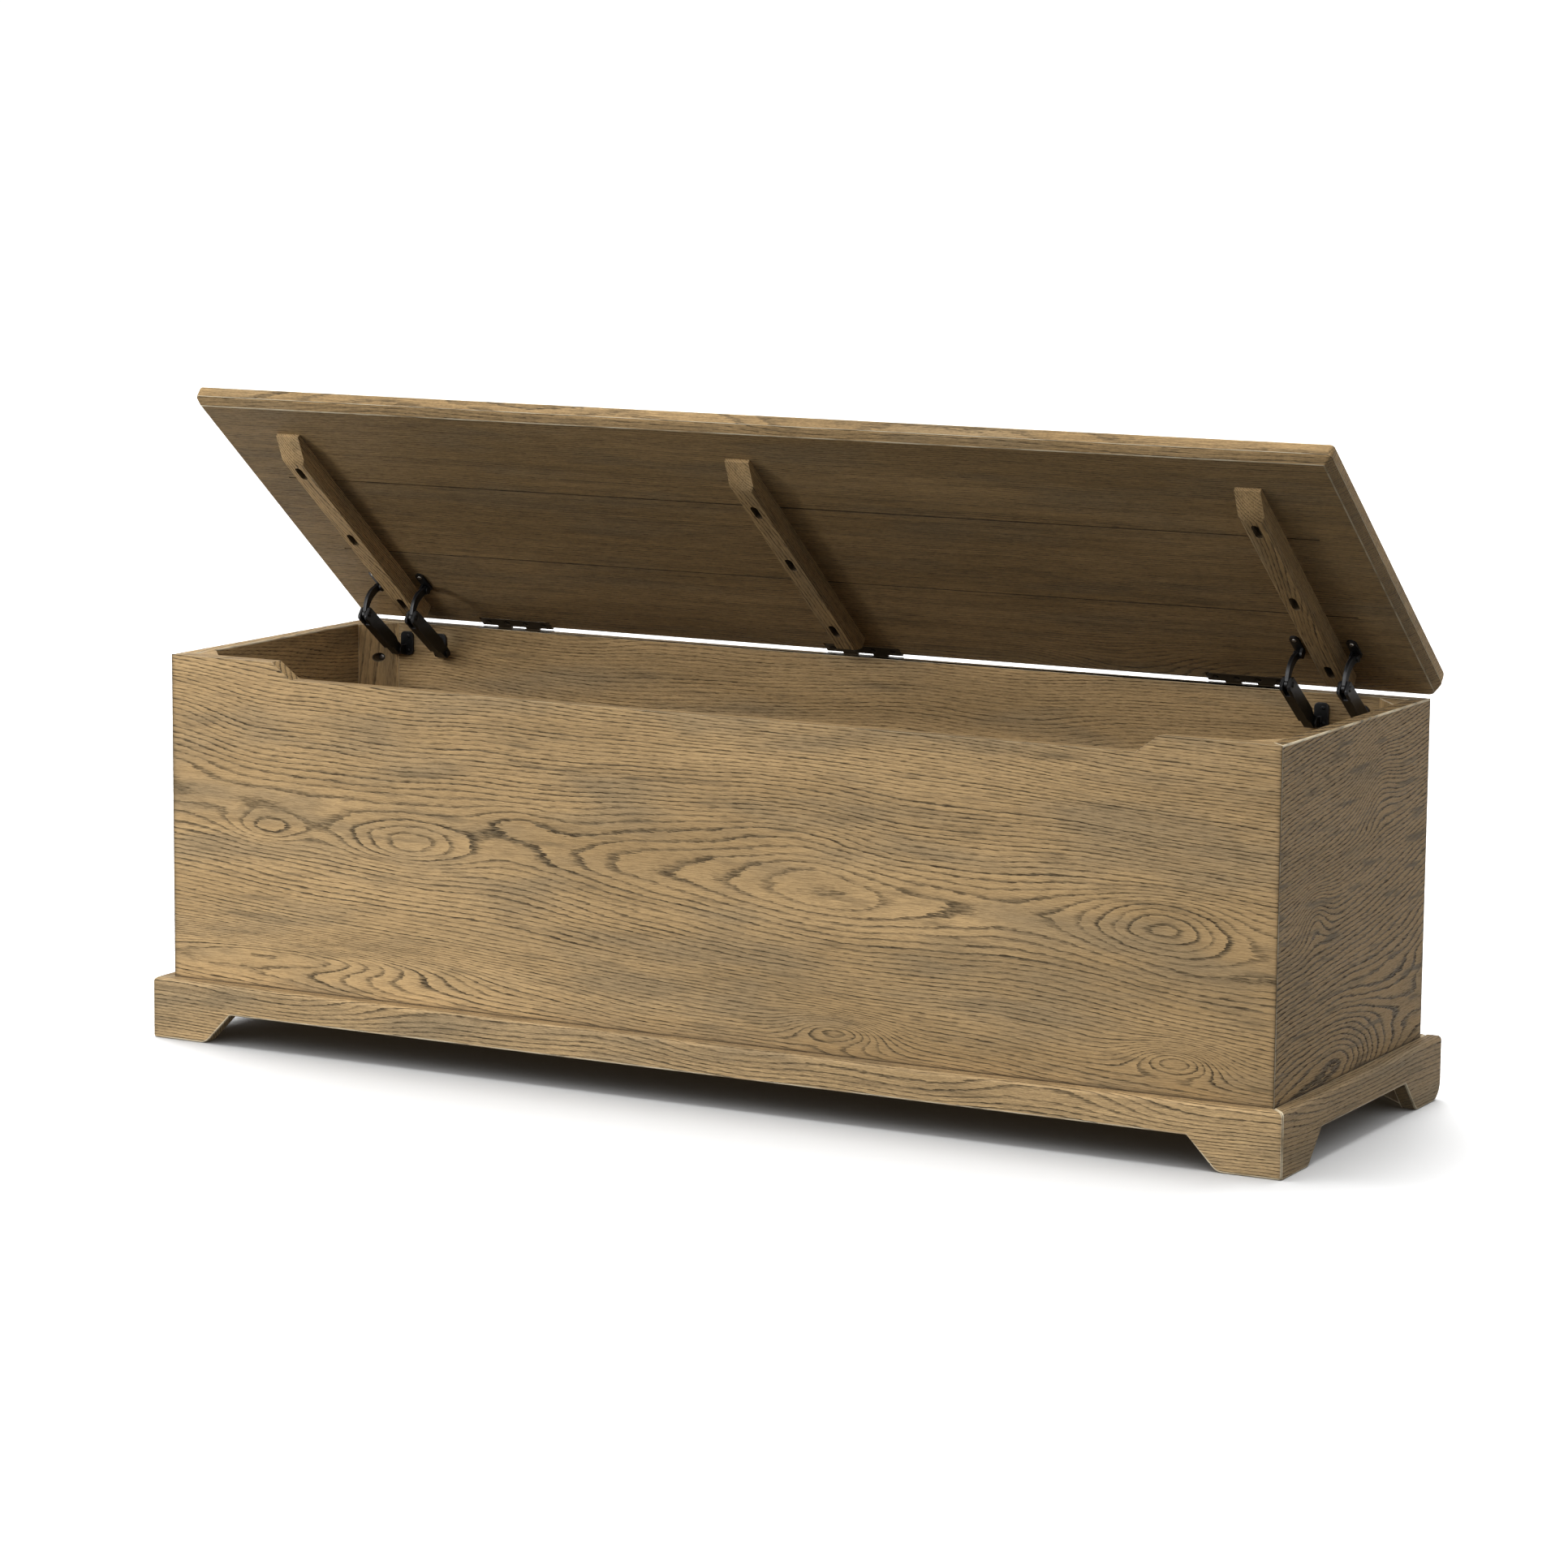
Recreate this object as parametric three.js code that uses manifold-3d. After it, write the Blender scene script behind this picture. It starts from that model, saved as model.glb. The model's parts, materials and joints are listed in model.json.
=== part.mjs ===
// Storage bench: a mitred oak box on a bracket-footed plinth, with a battened lid that
// swings on three butt hinges and is held at any angle by four friction lid stays.
// Millimetres, +Z up, front towards -Y, origin on the floor under the middle of the plinth.

import * as THREE from 'three';
import { mergeVertices } from 'three/addons/utils/BufferGeometryUtils.js';
import Module from 'manifold-3d';

const wasm = await Module();
wasm.setup();

// ---------- driving dimensions ----------

// fits
const glueLine = 0.1;          // between boards that are glued or seated on each other
const turnedGap = 0.3;         // between pieces that touch inside the turned lid group
const pivotClearance = 0.2;    // radial, pin to bore
const sideClearance = 0.5;     // axial, between pieces that turn against each other

// box
const boxLength = 1430;
const boxDepth = 436;
const rimHeight = 465;
const panelThickness = 20;
const panelFootHeight = 40;    // lower edge of the panels, behind the plinth
const dipInset = 143;          // hand dip in the front panel starts this far from the box's ends
const dipDepth = 20;
const dipRun = 27;             // how far each sloped end runs
const bottomThickness = 12;
const bottomHeight = 62;       // underside of the bottom board
const grooveDepth = 6;         // groove in the panels that holds the bottom board

// corner blocks and their screws
const blockLegX = 34;
const blockLegY = 43;
const blockDrop = 1;           // top of the block under the rim
const blockScrewDrop = 44;     // screw axis under the rim
const blockBoreRadius = 5.1;
const blockBoreDepth = 8;

// plinth and its bracket feet
const plinthHeight = 73.5;
const plinthThickness = 19;
const plinthRound = 5;         // rounded top arris
const archHeight = 37;
const footLength = 76;         // foot on the floor, from the outer corner
const footRun = 36;            // how far the foot's inner slope runs
const toeRadius = 7;
const heelRadius = 22;         // rear lower corners of the side boards
const footBlockLeg = 52;
const footBlockLift = 2;       // glue block clear of the floor

// lid
const lidEndOverhang = 16;     // past each end of the box
const lidFrontOverhang = 37;   // past the front of the box when shut
const lidThickness = 23;
const lidGap = 0.8;            // closed lid over the rim
const lidRearSetback = 7;      // closed lid's rear edge in from the back of the box
const openAngle = 38.84;       // the lid's opening as built, in degrees
const lidRearCorner = 18;
const lidFrontCorner = 5;
const lidBevelRun = 8;         // bevel under the front edge and the ends
const lidBevelRise = 7;
const kerfWidth = 1.6;
const kerfDepth = 1.5;
const kerfEnd = 57;            // a kerf stops this far from the lid's ends

// battens: place from the middle of its stays or of the lid, and its three screw slots, the
// first from the rear end, the last from the front end, the second from halfway between them
const battens = [
  { name: 'left', shift: -0.5, slots: { rear: 36, middle: 0.5, front: 53 } },
  { name: 'middle', shift: -9, slots: { rear: 48, middle: 16.5, front: 77 } },
  { name: 'right', shift: 4, slots: { rear: 39, middle: -1, front: 53 } },
];
const battenWidth = 31;
const battenThickness = 22;
const battenRear = 31;         // rear end, from the lid's rear edge
const battenClearance = 2;     // front end inside the front panel when the lid is shut
const battenNib = 4;           // upright part of the front end
const battenSlope = 34;        // length of the front end's slope
const battenTail = 9;          // chamfer at the rear end
const battenEase = 3.5;
const slotLength = 24;
const slotWidth = 9;
const slotDepth = 12;

// wood screws
const shankRadius = 1.8;
const headRadius = 4;
const headHeight = 2.4;
const screwBite = 11;          // length in the far board
const pilotClearance = 0.3;

// hinges
const hingeEndInsets = [219, 222];  // middle of each end hinge in from the box's end
const hingeMiddleShift = -7;
const hingeLength = 102;
const hingeDrop = 2.7;         // hinge axis under the rim
const hingeInset = 0.3;        // hinge axis in from the back of the box
const leafMargin = 0.4;        // leaf short of the back panel's inner face
const leafThickness = 2;
const leafProud = 0.3;         // lid leaf proud of the lid's underside
const leafClip = 5;            // clipped outer corners of the lid leaf
const knuckleCount = 5;
const knuckleGap = 0.4;
const knuckleRadius = 3.4;
const hingePinRadius = 1.5;
const pinHeadRadius = 2.6;
const pinHeadLength = 1.6;

// lid stays: a pair straddles each end batten; the gap is between its outer foot plate and the
// corner block
const stayPairs = [{ name: 'left', side: -1, gap: 4 }, { name: 'right', side: 1, gap: 11.5 }];
const stayBattenGap = 13;      // between a housing and the batten's side
const stayFootForward = 11;    // foot pivot in front of the back panel's inner face
const stayFootDrop = 33.5;     // foot pivot under the rim
const stayEyeReach = 88;       // eye pivot from the hinge axis, along the lid
const stayEyeDrop = 8;         // eye pivot under the lid's underside
const stayPinRadius = 2.2;
const stayPinHeadRadius = 4.2;
const stayPinHeadLength = 1.8;
const housingWidth = 12;
const housingDepth = 18;
const housingNose = 5;         // housing beyond the elbow pivot
const housingNeck = 18;        // narrow lower end, from the foot pivot
const housingHeelRadius = 6.4;
const forkWidth = 5.8;
const forkDepth = 12;
const armThickness = 5;
const armWidth = 7;
const armBow = 8;
const armEndRadius = 5;
const footPlateWidth = 18;
const footPlateHeight = 30;
const footPlateThickness = 3;
const footPlateCorner = 6;
const footPlateOffset = 10;    // plate's middle beside the housing's
const footPlateRise = 7.5;     // plate's middle over the foot pivot
const lugThickness = 3;
const lugRadius = 6;
const eyePlateWidth = 12;
const eyePlateThickness = 2.5;
const eyePlateFront = 27;      // eye plate in front of the eye pivot
const eyePlateRear = 8;

// facets
const roundFacets = 16;
const arcSteps = 5;

// ---------- worked-out places ----------

const halfLength = boxLength / 2;
const halfDepth = boxDepth / 2;
const innerX = halfLength - panelThickness;
const innerY = halfDepth - panelThickness;
const dipHalfLength = halfLength - dipInset - dipRun;
const plinthX = halfLength + plinthThickness;
const plinthY = halfDepth + plinthThickness;
const bottomTop = bottomHeight + bottomThickness;
const blockTop = rimHeight - blockDrop;
const hingeY = halfDepth - hingeInset;
const hingeZ = rimHeight - hingeDrop;
const leafWidth = panelThickness - hingeInset - leafMargin;
const hingePlaces = [hingeEndInsets[0] - halfLength, hingeMiddleShift, halfLength - hingeEndInsets[1]];
const reach = boxLength;       // longer than any board, for cutters that run right through
const open = THREE.MathUtils.degToRad(openAngle);

// the lid group's own frame: its origin is on the hinge axis and it is level when the lid is shut
const lidUnder = hingeDrop + lidGap;
const lidRear = lidRearSetback - hingeInset;
const lidLength = boxLength + 2 * lidEndOverhang;
const lidWidth = boxDepth - lidRearSetback + lidFrontOverhang;
const battenFront = boxDepth - lidRearSetback - panelThickness - battenClearance;
const eyeY = -stayEyeReach;
const eyeZ = lidUnder - stayEyeDrop;

// a pair of stays beside the corner block, and the batten between them
const stayPairHalf = battenWidth / 2 + stayBattenGap + housingWidth / 2;
function stayPairX({ side, gap }) {
  const plateMiddle = innerX - blockLegX - gap - footPlateWidth / 2;
  return side * (plateMiddle + footPlateOffset - stayPairHalf);
}
function battenX({ name, shift }) {
  const pair = stayPairs.find((stays) => stays.name === name);
  return shift + (pair ? stayPairX(pair) : 0);
}

// each slot's distance from the lid's rear edge
function slotPlaces({ slots }) {
  const rear = battenRear + slots.rear;
  const front = battenFront - slots.front;
  return [rear, (rear + front) / 2 + slots.middle, front];
}

// the stay's four pivots form a parallelogram, so its arm keeps its direction as the lid turns
const footPivot = new THREE.Vector2(innerY - stayFootForward, rimHeight - stayFootDrop);
const hingePivot = new THREE.Vector2(hingeY, hingeZ);
const housingSpan = new THREE.Vector2(eyeY, eyeZ).rotateAround(new THREE.Vector2(), -open);
const armSpan = hingePivot.clone().sub(footPivot);
const elbowPivot = footPivot.clone().add(housingSpan);

// ---------- materials ----------

function material(color, roughness, metalness) {
  return () => new THREE.MeshStandardMaterial({ color, roughness, metalness });
}
const oak = material(0x9c7a52, 0.72, 0);
const bronze = material(0x3b332c, 0.38, 0.9);
const blackMetal = material(0x17171a, 0.42, 0.6);
const steel = material(0x6d6a66, 0.4, 0.9);

// ---------- solids ----------

function toSolid(geometry) {
  const bare = geometry.clone();
  bare.deleteAttribute('normal');
  bare.deleteAttribute('uv');
  const welded = mergeVertices(bare, 1e-4);
  return new wasm.Manifold(new wasm.Mesh({
    numProp: 3,
    vertProperties: new Float32Array(welded.attributes.position.array),
    triVerts: new Uint32Array(welded.index.array),
  }));
}

function toGeometry(solid) {
  const mesh = solid.getMesh();
  const geometry = new THREE.BufferGeometry();
  geometry.setAttribute('position', new THREE.BufferAttribute(mesh.vertProperties, 3));
  geometry.setIndex(new THREE.BufferAttribute(mesh.triVerts, 1));
  geometry.computeVertexNormals();
  return geometry;
}

// a box given by its lowest and highest corners
function block(low, high) {
  const size = high.map((value, axis) => value - low[axis]);
  const geometry = new THREE.BoxGeometry(...size);
  geometry.translate(...low.map((value, axis) => value + size[axis] / 2));
  return toSolid(geometry);
}

// a box about a middle in X
function barBlock(x, width, [lowY, highY], [lowZ, highZ]) {
  return block([x - width / 2, lowY, lowZ], [x + width / 2, highY, highZ]);
}

function prism(outline, thickness) {
  const options = { depth: thickness, bevelEnabled: false, curveSegments: arcSteps, steps: 1 };
  return new THREE.ExtrudeGeometry(outline, options);
}

// an outline drawn in plan (x, y), standing from low to high
function standing(outline, low, high) {
  const geometry = prism(outline, high - low);
  geometry.translate(0, 0, low);
  return toSolid(geometry);
}

// an outline drawn in front view (x, z), running from low to high in Y
function facing(outline, low, high) {
  const geometry = prism(outline, high - low);
  geometry.rotateX(Math.PI / 2);
  geometry.translate(0, high, 0);
  return toSolid(geometry);
}

// an outline drawn in side view (y, z), running from low to high in X
function sideways(outline, low, high) {
  const geometry = prism(outline, high - low);
  geometry.applyMatrix4(new THREE.Matrix4().set(0, 0, 1, low, 1, 0, 0, 0, 0, 1, 0, 0, 0, 0, 0, 1));
  return toSolid(geometry);
}

// a round bar along X, from low to high, about the point (y, z)
function roundBar(radius, low, high, y, z) {
  const geometry = new THREE.CylinderGeometry(radius, radius, high - low, roundFacets);
  geometry.rotateZ(Math.PI / 2);
  geometry.translate((low + high) / 2, y, z);
  return toSolid(geometry);
}

// a round bar along Y, from low to high, about the point (x, z)
function roundBarY(radius, low, high, x, z) {
  const geometry = new THREE.CylinderGeometry(radius, radius, high - low, roundFacets);
  geometry.translate(x, (low + high) / 2, z);
  return toSolid(geometry);
}

// a round bar along Z, from low to high, about the point (x, y)
function roundBarZ(radius, low, high, x, y) {
  const geometry = new THREE.CylinderGeometry(radius, radius, high - low, roundFacets);
  geometry.rotateX(Math.PI / 2);
  geometry.translate(x, y, (low + high) / 2);
  return toSolid(geometry);
}

function outlineOf(points) {
  return new THREE.Shape(points.map(([x, y]) => new THREE.Vector2(x, y)));
}

// what a rounded corner takes away: the corner is at the origin, the board towards -x, -y
function cornerWaste(radius) {
  const waste = new THREE.Shape();
  const past = 1;
  waste.moveTo(past, past);
  waste.lineTo(-radius, past);
  waste.lineTo(-radius, 0);
  waste.absarc(-radius, -radius, radius, Math.PI / 2, 0, true);
  waste.lineTo(past, -radius);
  return waste;
}

// a rectangle with all four corners rounded
function roundedRectangle(x, y, width, height, radius) {
  const shape = new THREE.Shape();
  const right = x + width;
  const top = y + height;
  shape.moveTo(x + radius, y);
  shape.absarc(right - radius, y + radius, radius, -Math.PI / 2, 0, false);
  shape.absarc(right - radius, top - radius, radius, 0, Math.PI / 2, false);
  shape.absarc(x + radius, top - radius, radius, Math.PI / 2, Math.PI, false);
  shape.absarc(x + radius, y + radius, radius, Math.PI, Math.PI * 1.5, false);
  return shape;
}

function addMesh(group, name, solid, finish) {
  const mesh = new THREE.Mesh(toGeometry(solid), finish());
  mesh.name = name;
  group.add(mesh);
}

// ---------- box ----------

const bench = new THREE.Group();

function bottomGroove() {
  const groove = [innerX + grooveDepth, innerY + grooveDepth];
  return block([-groove[0], -groove[1], bottomHeight - glueLine],
    [groove[0], groove[1], bottomTop + glueLine]);
}

// a long panel, mitred at both ends; side is -1 for the front and 1 for the back
function longPanel(side) {
  const outline = outlineOf([
    [-halfLength, side * halfDepth],
    [halfLength, side * halfDepth],
    [innerX, side * innerY],
    [-innerX, side * innerY],
  ]);
  return standing(outline, panelFootHeight, rimHeight).subtract(bottomGroove());
}

// an end panel; its mitres stop short of the long panels by the glue line
function endPanel(side) {
  const outline = outlineOf([
    [side * halfLength, -halfDepth + glueLine],
    [side * halfLength, halfDepth - glueLine],
    [side * innerX, innerY - glueLine],
    [side * innerX, -innerY + glueLine],
  ]);
  return standing(outline, panelFootHeight, rimHeight).subtract(bottomGroove());
}

function frontPanel() {
  const dipBottom = rimHeight - dipDepth;
  const dipTop = dipHalfLength + dipRun;
  const dip = outlineOf([
    [-dipTop, rimHeight],
    [-dipHalfLength, dipBottom],
    [dipHalfLength, dipBottom],
    [dipTop, rimHeight],
    [dipTop, rimHeight + 1],
    [-dipTop, rimHeight + 1],
  ]);
  return blockPilots(longPanel(-1), -1).subtract(facing(dip, -halfDepth - 1, -innerY + 1));
}

function backPanel() {
  let panel = blockPilots(longPanel(1), 1);
  const seatBottom = rimHeight - leafThickness - glueLine;
  const barrel = knuckleRadius + sideClearance;
  const seatLength = hingeLength + 2 * sideClearance;
  const reliefLength = seatLength + 2 * (sideClearance + pinHeadLength);
  const leafFront = hingeY - leafWidth - glueLine;
  for (const x of hingePlaces) {
    const seat = barBlock(x, seatLength, [leafFront, halfDepth + 1], [seatBottom, rimHeight + 1]);
    const relief = barBlock(x, reliefLength, [hingeY - barrel, halfDepth + 1], [hingeZ - barrel, rimHeight + 1]);
    panel = panel.subtract(seat).subtract(relief);
  }
  return panel;
}

// pilot holes for the corner-block screws in a long panel
function blockPilots(panel, side) {
  const deep = side * (innerY + screwBite + 1);
  const face = side * (innerY - 1);
  let drilled = panel;
  for (const end of [-1, 1]) {
    const [low, high] = [Math.min(deep, face), Math.max(deep, face)];
    const x = end * (innerX - blockLegX / 2);
    const z = rimHeight - blockScrewDrop;
    drilled = drilled.subtract(roundBarY(shankRadius + pilotClearance, low, high, x, z));
  }
  return drilled;
}

function bottomBoard() {
  const x = innerX + grooveDepth - glueLine;
  const y = innerY + grooveDepth - glueLine;
  return block([-x, -y, bottomHeight], [x, y, bottomTop]);
}

// a three-cornered prism in a corner of the box; endX and endY are -1 or 1
function cornerPrism(endX, endY, legX, legY, low, high) {
  const x = endX * (innerX - glueLine);
  const y = endY * (innerY - glueLine);
  const outline = outlineOf([[x, y], [x - endX * legX, y], [x, y - endY * legY]]);
  return standing(outline, low, high);
}

function cornerBlock(endX, endY) {
  const x = endX * (innerX - blockLegX / 2);
  const z = rimHeight - blockScrewDrop;
  const face = innerY - blockLegY / 2;
  const shoulder = face + blockBoreDepth;
  const clear = shankRadius + pilotClearance;
  const span = (from, to) => [Math.min(endY * from, endY * to), Math.max(endY * from, endY * to)];
  const bore = roundBarY(blockBoreRadius, ...span(face - blockLegY / 2, shoulder), x, z);
  const hole = roundBarY(clear, ...span(shoulder - 1, innerY + 1), x, z);
  const solid = cornerPrism(endX, endY, blockLegX, blockLegY, bottomTop + 2 * glueLine, blockTop);
  return solid.subtract(bore).subtract(hole);
}

function blockScrew(endX, endY) {
  const x = endX * (innerX - blockLegX / 2);
  const z = rimHeight - blockScrewDrop;
  const seat = innerY - blockLegY / 2 + blockBoreDepth - glueLine;
  const span = (from, to) => [Math.min(endY * from, endY * to), Math.max(endY * from, endY * to)];
  const head = roundBarY(headRadius, ...span(seat - headHeight, seat), x, z);
  const shank = roundBarY(shankRadius, ...span(seat - 1, innerY + screwBite), x, z);
  return head.add(shank);
}

function buildBox() {
  addMesh(bench, 'front_panel', frontPanel(), oak);
  addMesh(bench, 'back_panel', backPanel(), oak);
  addMesh(bench, 'left_panel', endPanel(-1), oak);
  addMesh(bench, 'right_panel', endPanel(1), oak);
  addMesh(bench, 'bottom_board', bottomBoard(), oak);
  for (const [endX, across] of [[-1, 'left'], [1, 'right']]) {
    for (const [endY, along] of [[-1, 'front'], [1, 'rear']]) {
      addMesh(bench, `corner_block_${along}_${across}`, cornerBlock(endX, endY), oak);
      addMesh(bench, `corner_block_screw_${along}_${across}`, blockScrew(endX, endY), steel);
    }
  }
}

// ---------- plinth ----------

// the arch between two feet, as the waste under a board whose half length is given
function archWaste(half) {
  const toe = half - footLength;
  const top = half - footLength - footRun;
  const slope = Math.hypot(footRun, archHeight);
  const ease = toeRadius / slope;
  const arch = new THREE.Shape();
  arch.moveTo(-toe - toeRadius, -1);
  arch.lineTo(-toe - toeRadius, 0);
  arch.quadraticCurveTo(-toe, 0, -toe + footRun * ease, archHeight * ease);
  arch.lineTo(-top, archHeight);
  arch.lineTo(top, archHeight);
  arch.lineTo(toe - footRun * ease, archHeight * ease);
  arch.quadraticCurveTo(toe, 0, toe + toeRadius, 0);
  arch.lineTo(toe + toeRadius, -1);
  return arch;
}

function plinthFront() {
  const outline = outlineOf([
    [-plinthX, -plinthY],
    [plinthX, -plinthY],
    [halfLength + glueLine, -halfDepth - glueLine],
    [-halfLength - glueLine, -halfDepth - glueLine],
  ]);
  const round = cornerWaste(plinthRound);
  const arris = sideways(round, -reach, reach).mirror([0, 1, 0]).translate([0, -plinthY, plinthHeight]);
  const arch = facing(archWaste(plinthX), -plinthY - 1, -halfDepth + 1);
  return standing(outline, 0, plinthHeight).subtract(arch).subtract(arris);
}

// the back board stands between the side boards
function plinthBack() {
  const half = halfLength;
  const outline = outlineOf([
    [-half, halfDepth + glueLine],
    [half, halfDepth + glueLine],
    [half, plinthY],
    [-half, plinthY],
  ]);
  const arris = sideways(cornerWaste(plinthRound), -reach, reach).translate([0, plinthY, plinthHeight]);
  const arch = facing(archWaste(plinthX), halfDepth - 1, plinthY + 1);
  return standing(outline, 0, plinthHeight).subtract(arch).subtract(arris);
}

// a side board is mitred to the front board and runs on past the back of the box
function plinthSide(side) {
  const inner = halfLength + glueLine;
  const outline = outlineOf([
    [side * plinthX, -plinthY + glueLine],
    [side * plinthX, plinthY],
    [side * inner, plinthY],
    [side * inner, -halfDepth],
  ]);
  const round = facing(cornerWaste(plinthRound), -reach, reach).translate([plinthX, 0, plinthHeight]);
  const arris = side > 0 ? round : round.mirror([1, 0, 0]);
  const low = Math.min(side * inner, side * plinthX) - 1;
  const high = Math.max(side * inner, side * plinthX) + 1;
  const arch = sideways(archWaste(plinthY), low, high);
  const heel = sideways(cornerWaste(heelRadius), low, high).mirror([0, 0, 1]).translate([0, plinthY, 0]);
  return standing(outline, 0, plinthHeight).subtract(arch).subtract(arris).subtract(heel);
}

// a glue block in the corner of each foot, under the box
function footBlock(endX, endY) {
  const x = endX * halfLength;
  const y = endY * halfDepth;
  const outline = outlineOf([[x, y], [x - endX * footBlockLeg, y], [x, y - endY * footBlockLeg]]);
  return standing(outline, footBlockLift, panelFootHeight - glueLine);
}

function buildPlinth() {
  addMesh(bench, 'plinth_front', plinthFront(), oak);
  addMesh(bench, 'plinth_back', plinthBack(), oak);
  addMesh(bench, 'plinth_left', plinthSide(-1), oak);
  addMesh(bench, 'plinth_right', plinthSide(1), oak);
  for (const [endX, across] of [[-1, 'left'], [1, 'right']]) {
    for (const [endY, along] of [[-1, 'front'], [1, 'rear']]) {
      addMesh(bench, `foot_block_${along}_${across}`, footBlock(endX, endY), oak);
    }
  }
}

// ---------- lid ----------

const lid = new THREE.Group();
lid.position.set(0, hingeY, hingeZ);
lid.rotation.x = -open;
bench.add(lid);

// a place on the lid, measured forward from its rear edge
function fromRear(distance) {
  return -lidRear - distance;
}

function lidBoard() {
  const half = lidLength / 2;
  const front = fromRear(lidWidth);
  const plan = new THREE.Shape();
  plan.moveTo(-half + lidFrontCorner, front);
  plan.absarc(half - lidFrontCorner, front + lidFrontCorner, lidFrontCorner, -Math.PI / 2, 0, false);
  plan.absarc(half - lidRearCorner, -lidRear - lidRearCorner, lidRearCorner, 0, Math.PI / 2, false);
  plan.absarc(-half + lidRearCorner, -lidRear - lidRearCorner, lidRearCorner, Math.PI / 2, Math.PI, false);
  plan.absarc(-half + lidFrontCorner, front + lidFrontCorner, lidFrontCorner, Math.PI, Math.PI * 1.5, false);
  let board = standing(plan, lidUnder, lidUnder + lidThickness);
  for (const cutter of [...lidBevels(front, half), ...lidKerfs(half), ...hingeMortises(), ...lidPilots()]) {
    board = board.subtract(cutter);
  }
  return board;
}

// bevels under the front edge and under both ends
function lidBevels(front, half) {
  const past = 1;
  const slope = lidBevelRise / lidBevelRun;
  const bevel = outlineOf([
    [-past, -past],
    [lidBevelRun + past / slope, -past],
    [-past, lidBevelRise + past * slope],
  ]);
  const along = sideways(bevel, -reach, reach).translate([0, front, lidUnder]);
  const atLeft = facing(bevel, -reach, reach).translate([-half, 0, lidUnder]);
  const atRight = facing(bevel, -reach, reach).mirror([1, 0, 0]).translate([half, 0, lidUnder]);
  return [along, atLeft, atRight];
}

// two stopped kerfs mark the lid's thirds
function lidKerfs(half) {
  return [1 / 3, 2 / 3].map((share) => {
    const y = fromRear(lidWidth * share);
    const run = 2 * (half - kerfEnd);
    return barBlock(0, run, [y - kerfWidth / 2, y + kerfWidth / 2], [lidUnder - 1, lidUnder + kerfDepth]);
  });
}

function hingeMortises() {
  const depth = leafThickness - leafProud + turnedGap;
  return hingePlaces.map((x) => barBlock(x, hingeLength + 2 * turnedGap,
    [-leafWidth - turnedGap, 0], [lidUnder - 1, lidUnder + depth]));
}

function lidPilots() {
  const radius = shankRadius + pilotClearance;
  return battens.flatMap((piece) => slotPlaces(piece).map((place) => roundBarZ(
    radius, lidUnder - 1, lidUnder + screwBite + 1, battenX(piece), fromRear(place))));
}

function batten(piece) {
  const x = battenX(piece);
  const top = lidUnder - turnedGap;
  const under = lidUnder - battenThickness;
  const profile = outlineOf([
    [fromRear(battenRear), top],
    [fromRear(battenFront), top],
    [fromRear(battenFront), top - battenNib],
    [fromRear(battenFront - battenSlope), under],
    [fromRear(battenRear + battenTail), under],
    [fromRear(battenRear), under + battenTail],
  ]);
  const half = battenWidth / 2;
  let bar = sideways(profile, x - half, x + half);
  const past = 1;
  const ease = outlineOf([
    [-past, -past],
    [battenEase + past, -past],
    [-past, battenEase + past],
  ]);
  const cut = facing(ease, -reach, reach);
  bar = bar.subtract(cut.translate([x - half, 0, under]));
  bar = bar.subtract(cut.mirror([1, 0, 0]).translate([x + half, 0, under]));
  for (const place of slotPlaces(piece)) {
    const y = fromRear(place);
    const slot = roundedRectangle(x - slotWidth / 2, y - slotLength / 2, slotWidth, slotLength,
      slotWidth / 2 - 0.1);
    bar = bar.subtract(standing(slot, under - 1, under + slotDepth));
    bar = bar.subtract(roundBarZ(shankRadius + pilotClearance, under, lidUnder + 1, x, y));
  }
  return bar;
}

function battenScrew(x, place) {
  const seat = lidUnder - battenThickness + slotDepth - turnedGap;
  const y = fromRear(place);
  const head = roundBarZ(headRadius, seat - headHeight, seat, x, y);
  return head.add(roundBarZ(shankRadius, seat - 1, lidUnder + screwBite, x, y));
}

function buildLid() {
  addMesh(lid, 'lid_board', lidBoard(), oak);
  for (const piece of battens) {
    addMesh(lid, `lid_batten_${piece.name}`, batten(piece), oak);
    slotPlaces(piece).forEach((place, index) => {
      addMesh(lid, `batten_screw_${piece.name}_${index + 1}`, battenScrew(battenX(piece), place), steel);
    });
  }
}

// ---------- hinges, drawn about the hinge axis ----------

// the knuckles of one leaf; first is 0 for the box leaf's and 1 for the lid leaf's
function knuckles(x, first) {
  const pitch = hingeLength / knuckleCount;
  const spans = [];
  for (let index = first; index < knuckleCount; index += 2) {
    const low = x - hingeLength / 2 + index * pitch;
    const start = index === 0 ? low : low + knuckleGap / 2;
    const end = index === knuckleCount - 1 ? low + pitch : low + pitch - knuckleGap / 2;
    spans.push([start, end]);
  }
  return spans;
}

// a leaf between two heights, notched where the other leaf's knuckles turn
function hingeLeaf(x, first, [low, high], clip) {
  const half = hingeLength / 2;
  const plan = outlineOf([
    [x - half, 0],
    [x - half, -leafWidth + clip],
    [x - half + clip, -leafWidth],
    [x + half - clip, -leafWidth],
    [x + half, -leafWidth + clip],
    [x + half, 0],
  ]);
  let leaf = standing(plan, low, high);
  const notch = knuckleRadius + sideClearance;
  const margin = knuckleGap / 2;
  for (const [start, end] of knuckles(x, 1 - first)) {
    leaf = leaf.subtract(block([start - margin - 0.1, -notch, low - 1], [end + margin + 0.1, 1, high + 1]));
  }
  for (const [start, end] of knuckles(x, first)) {
    leaf = leaf.add(roundBar(knuckleRadius, start, end, 0, 0));
  }
  const bore = roundBar(hingePinRadius + pivotClearance, x - half - 1, x + half + 1, 0, 0);
  return leaf.subtract(bore);
}

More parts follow.
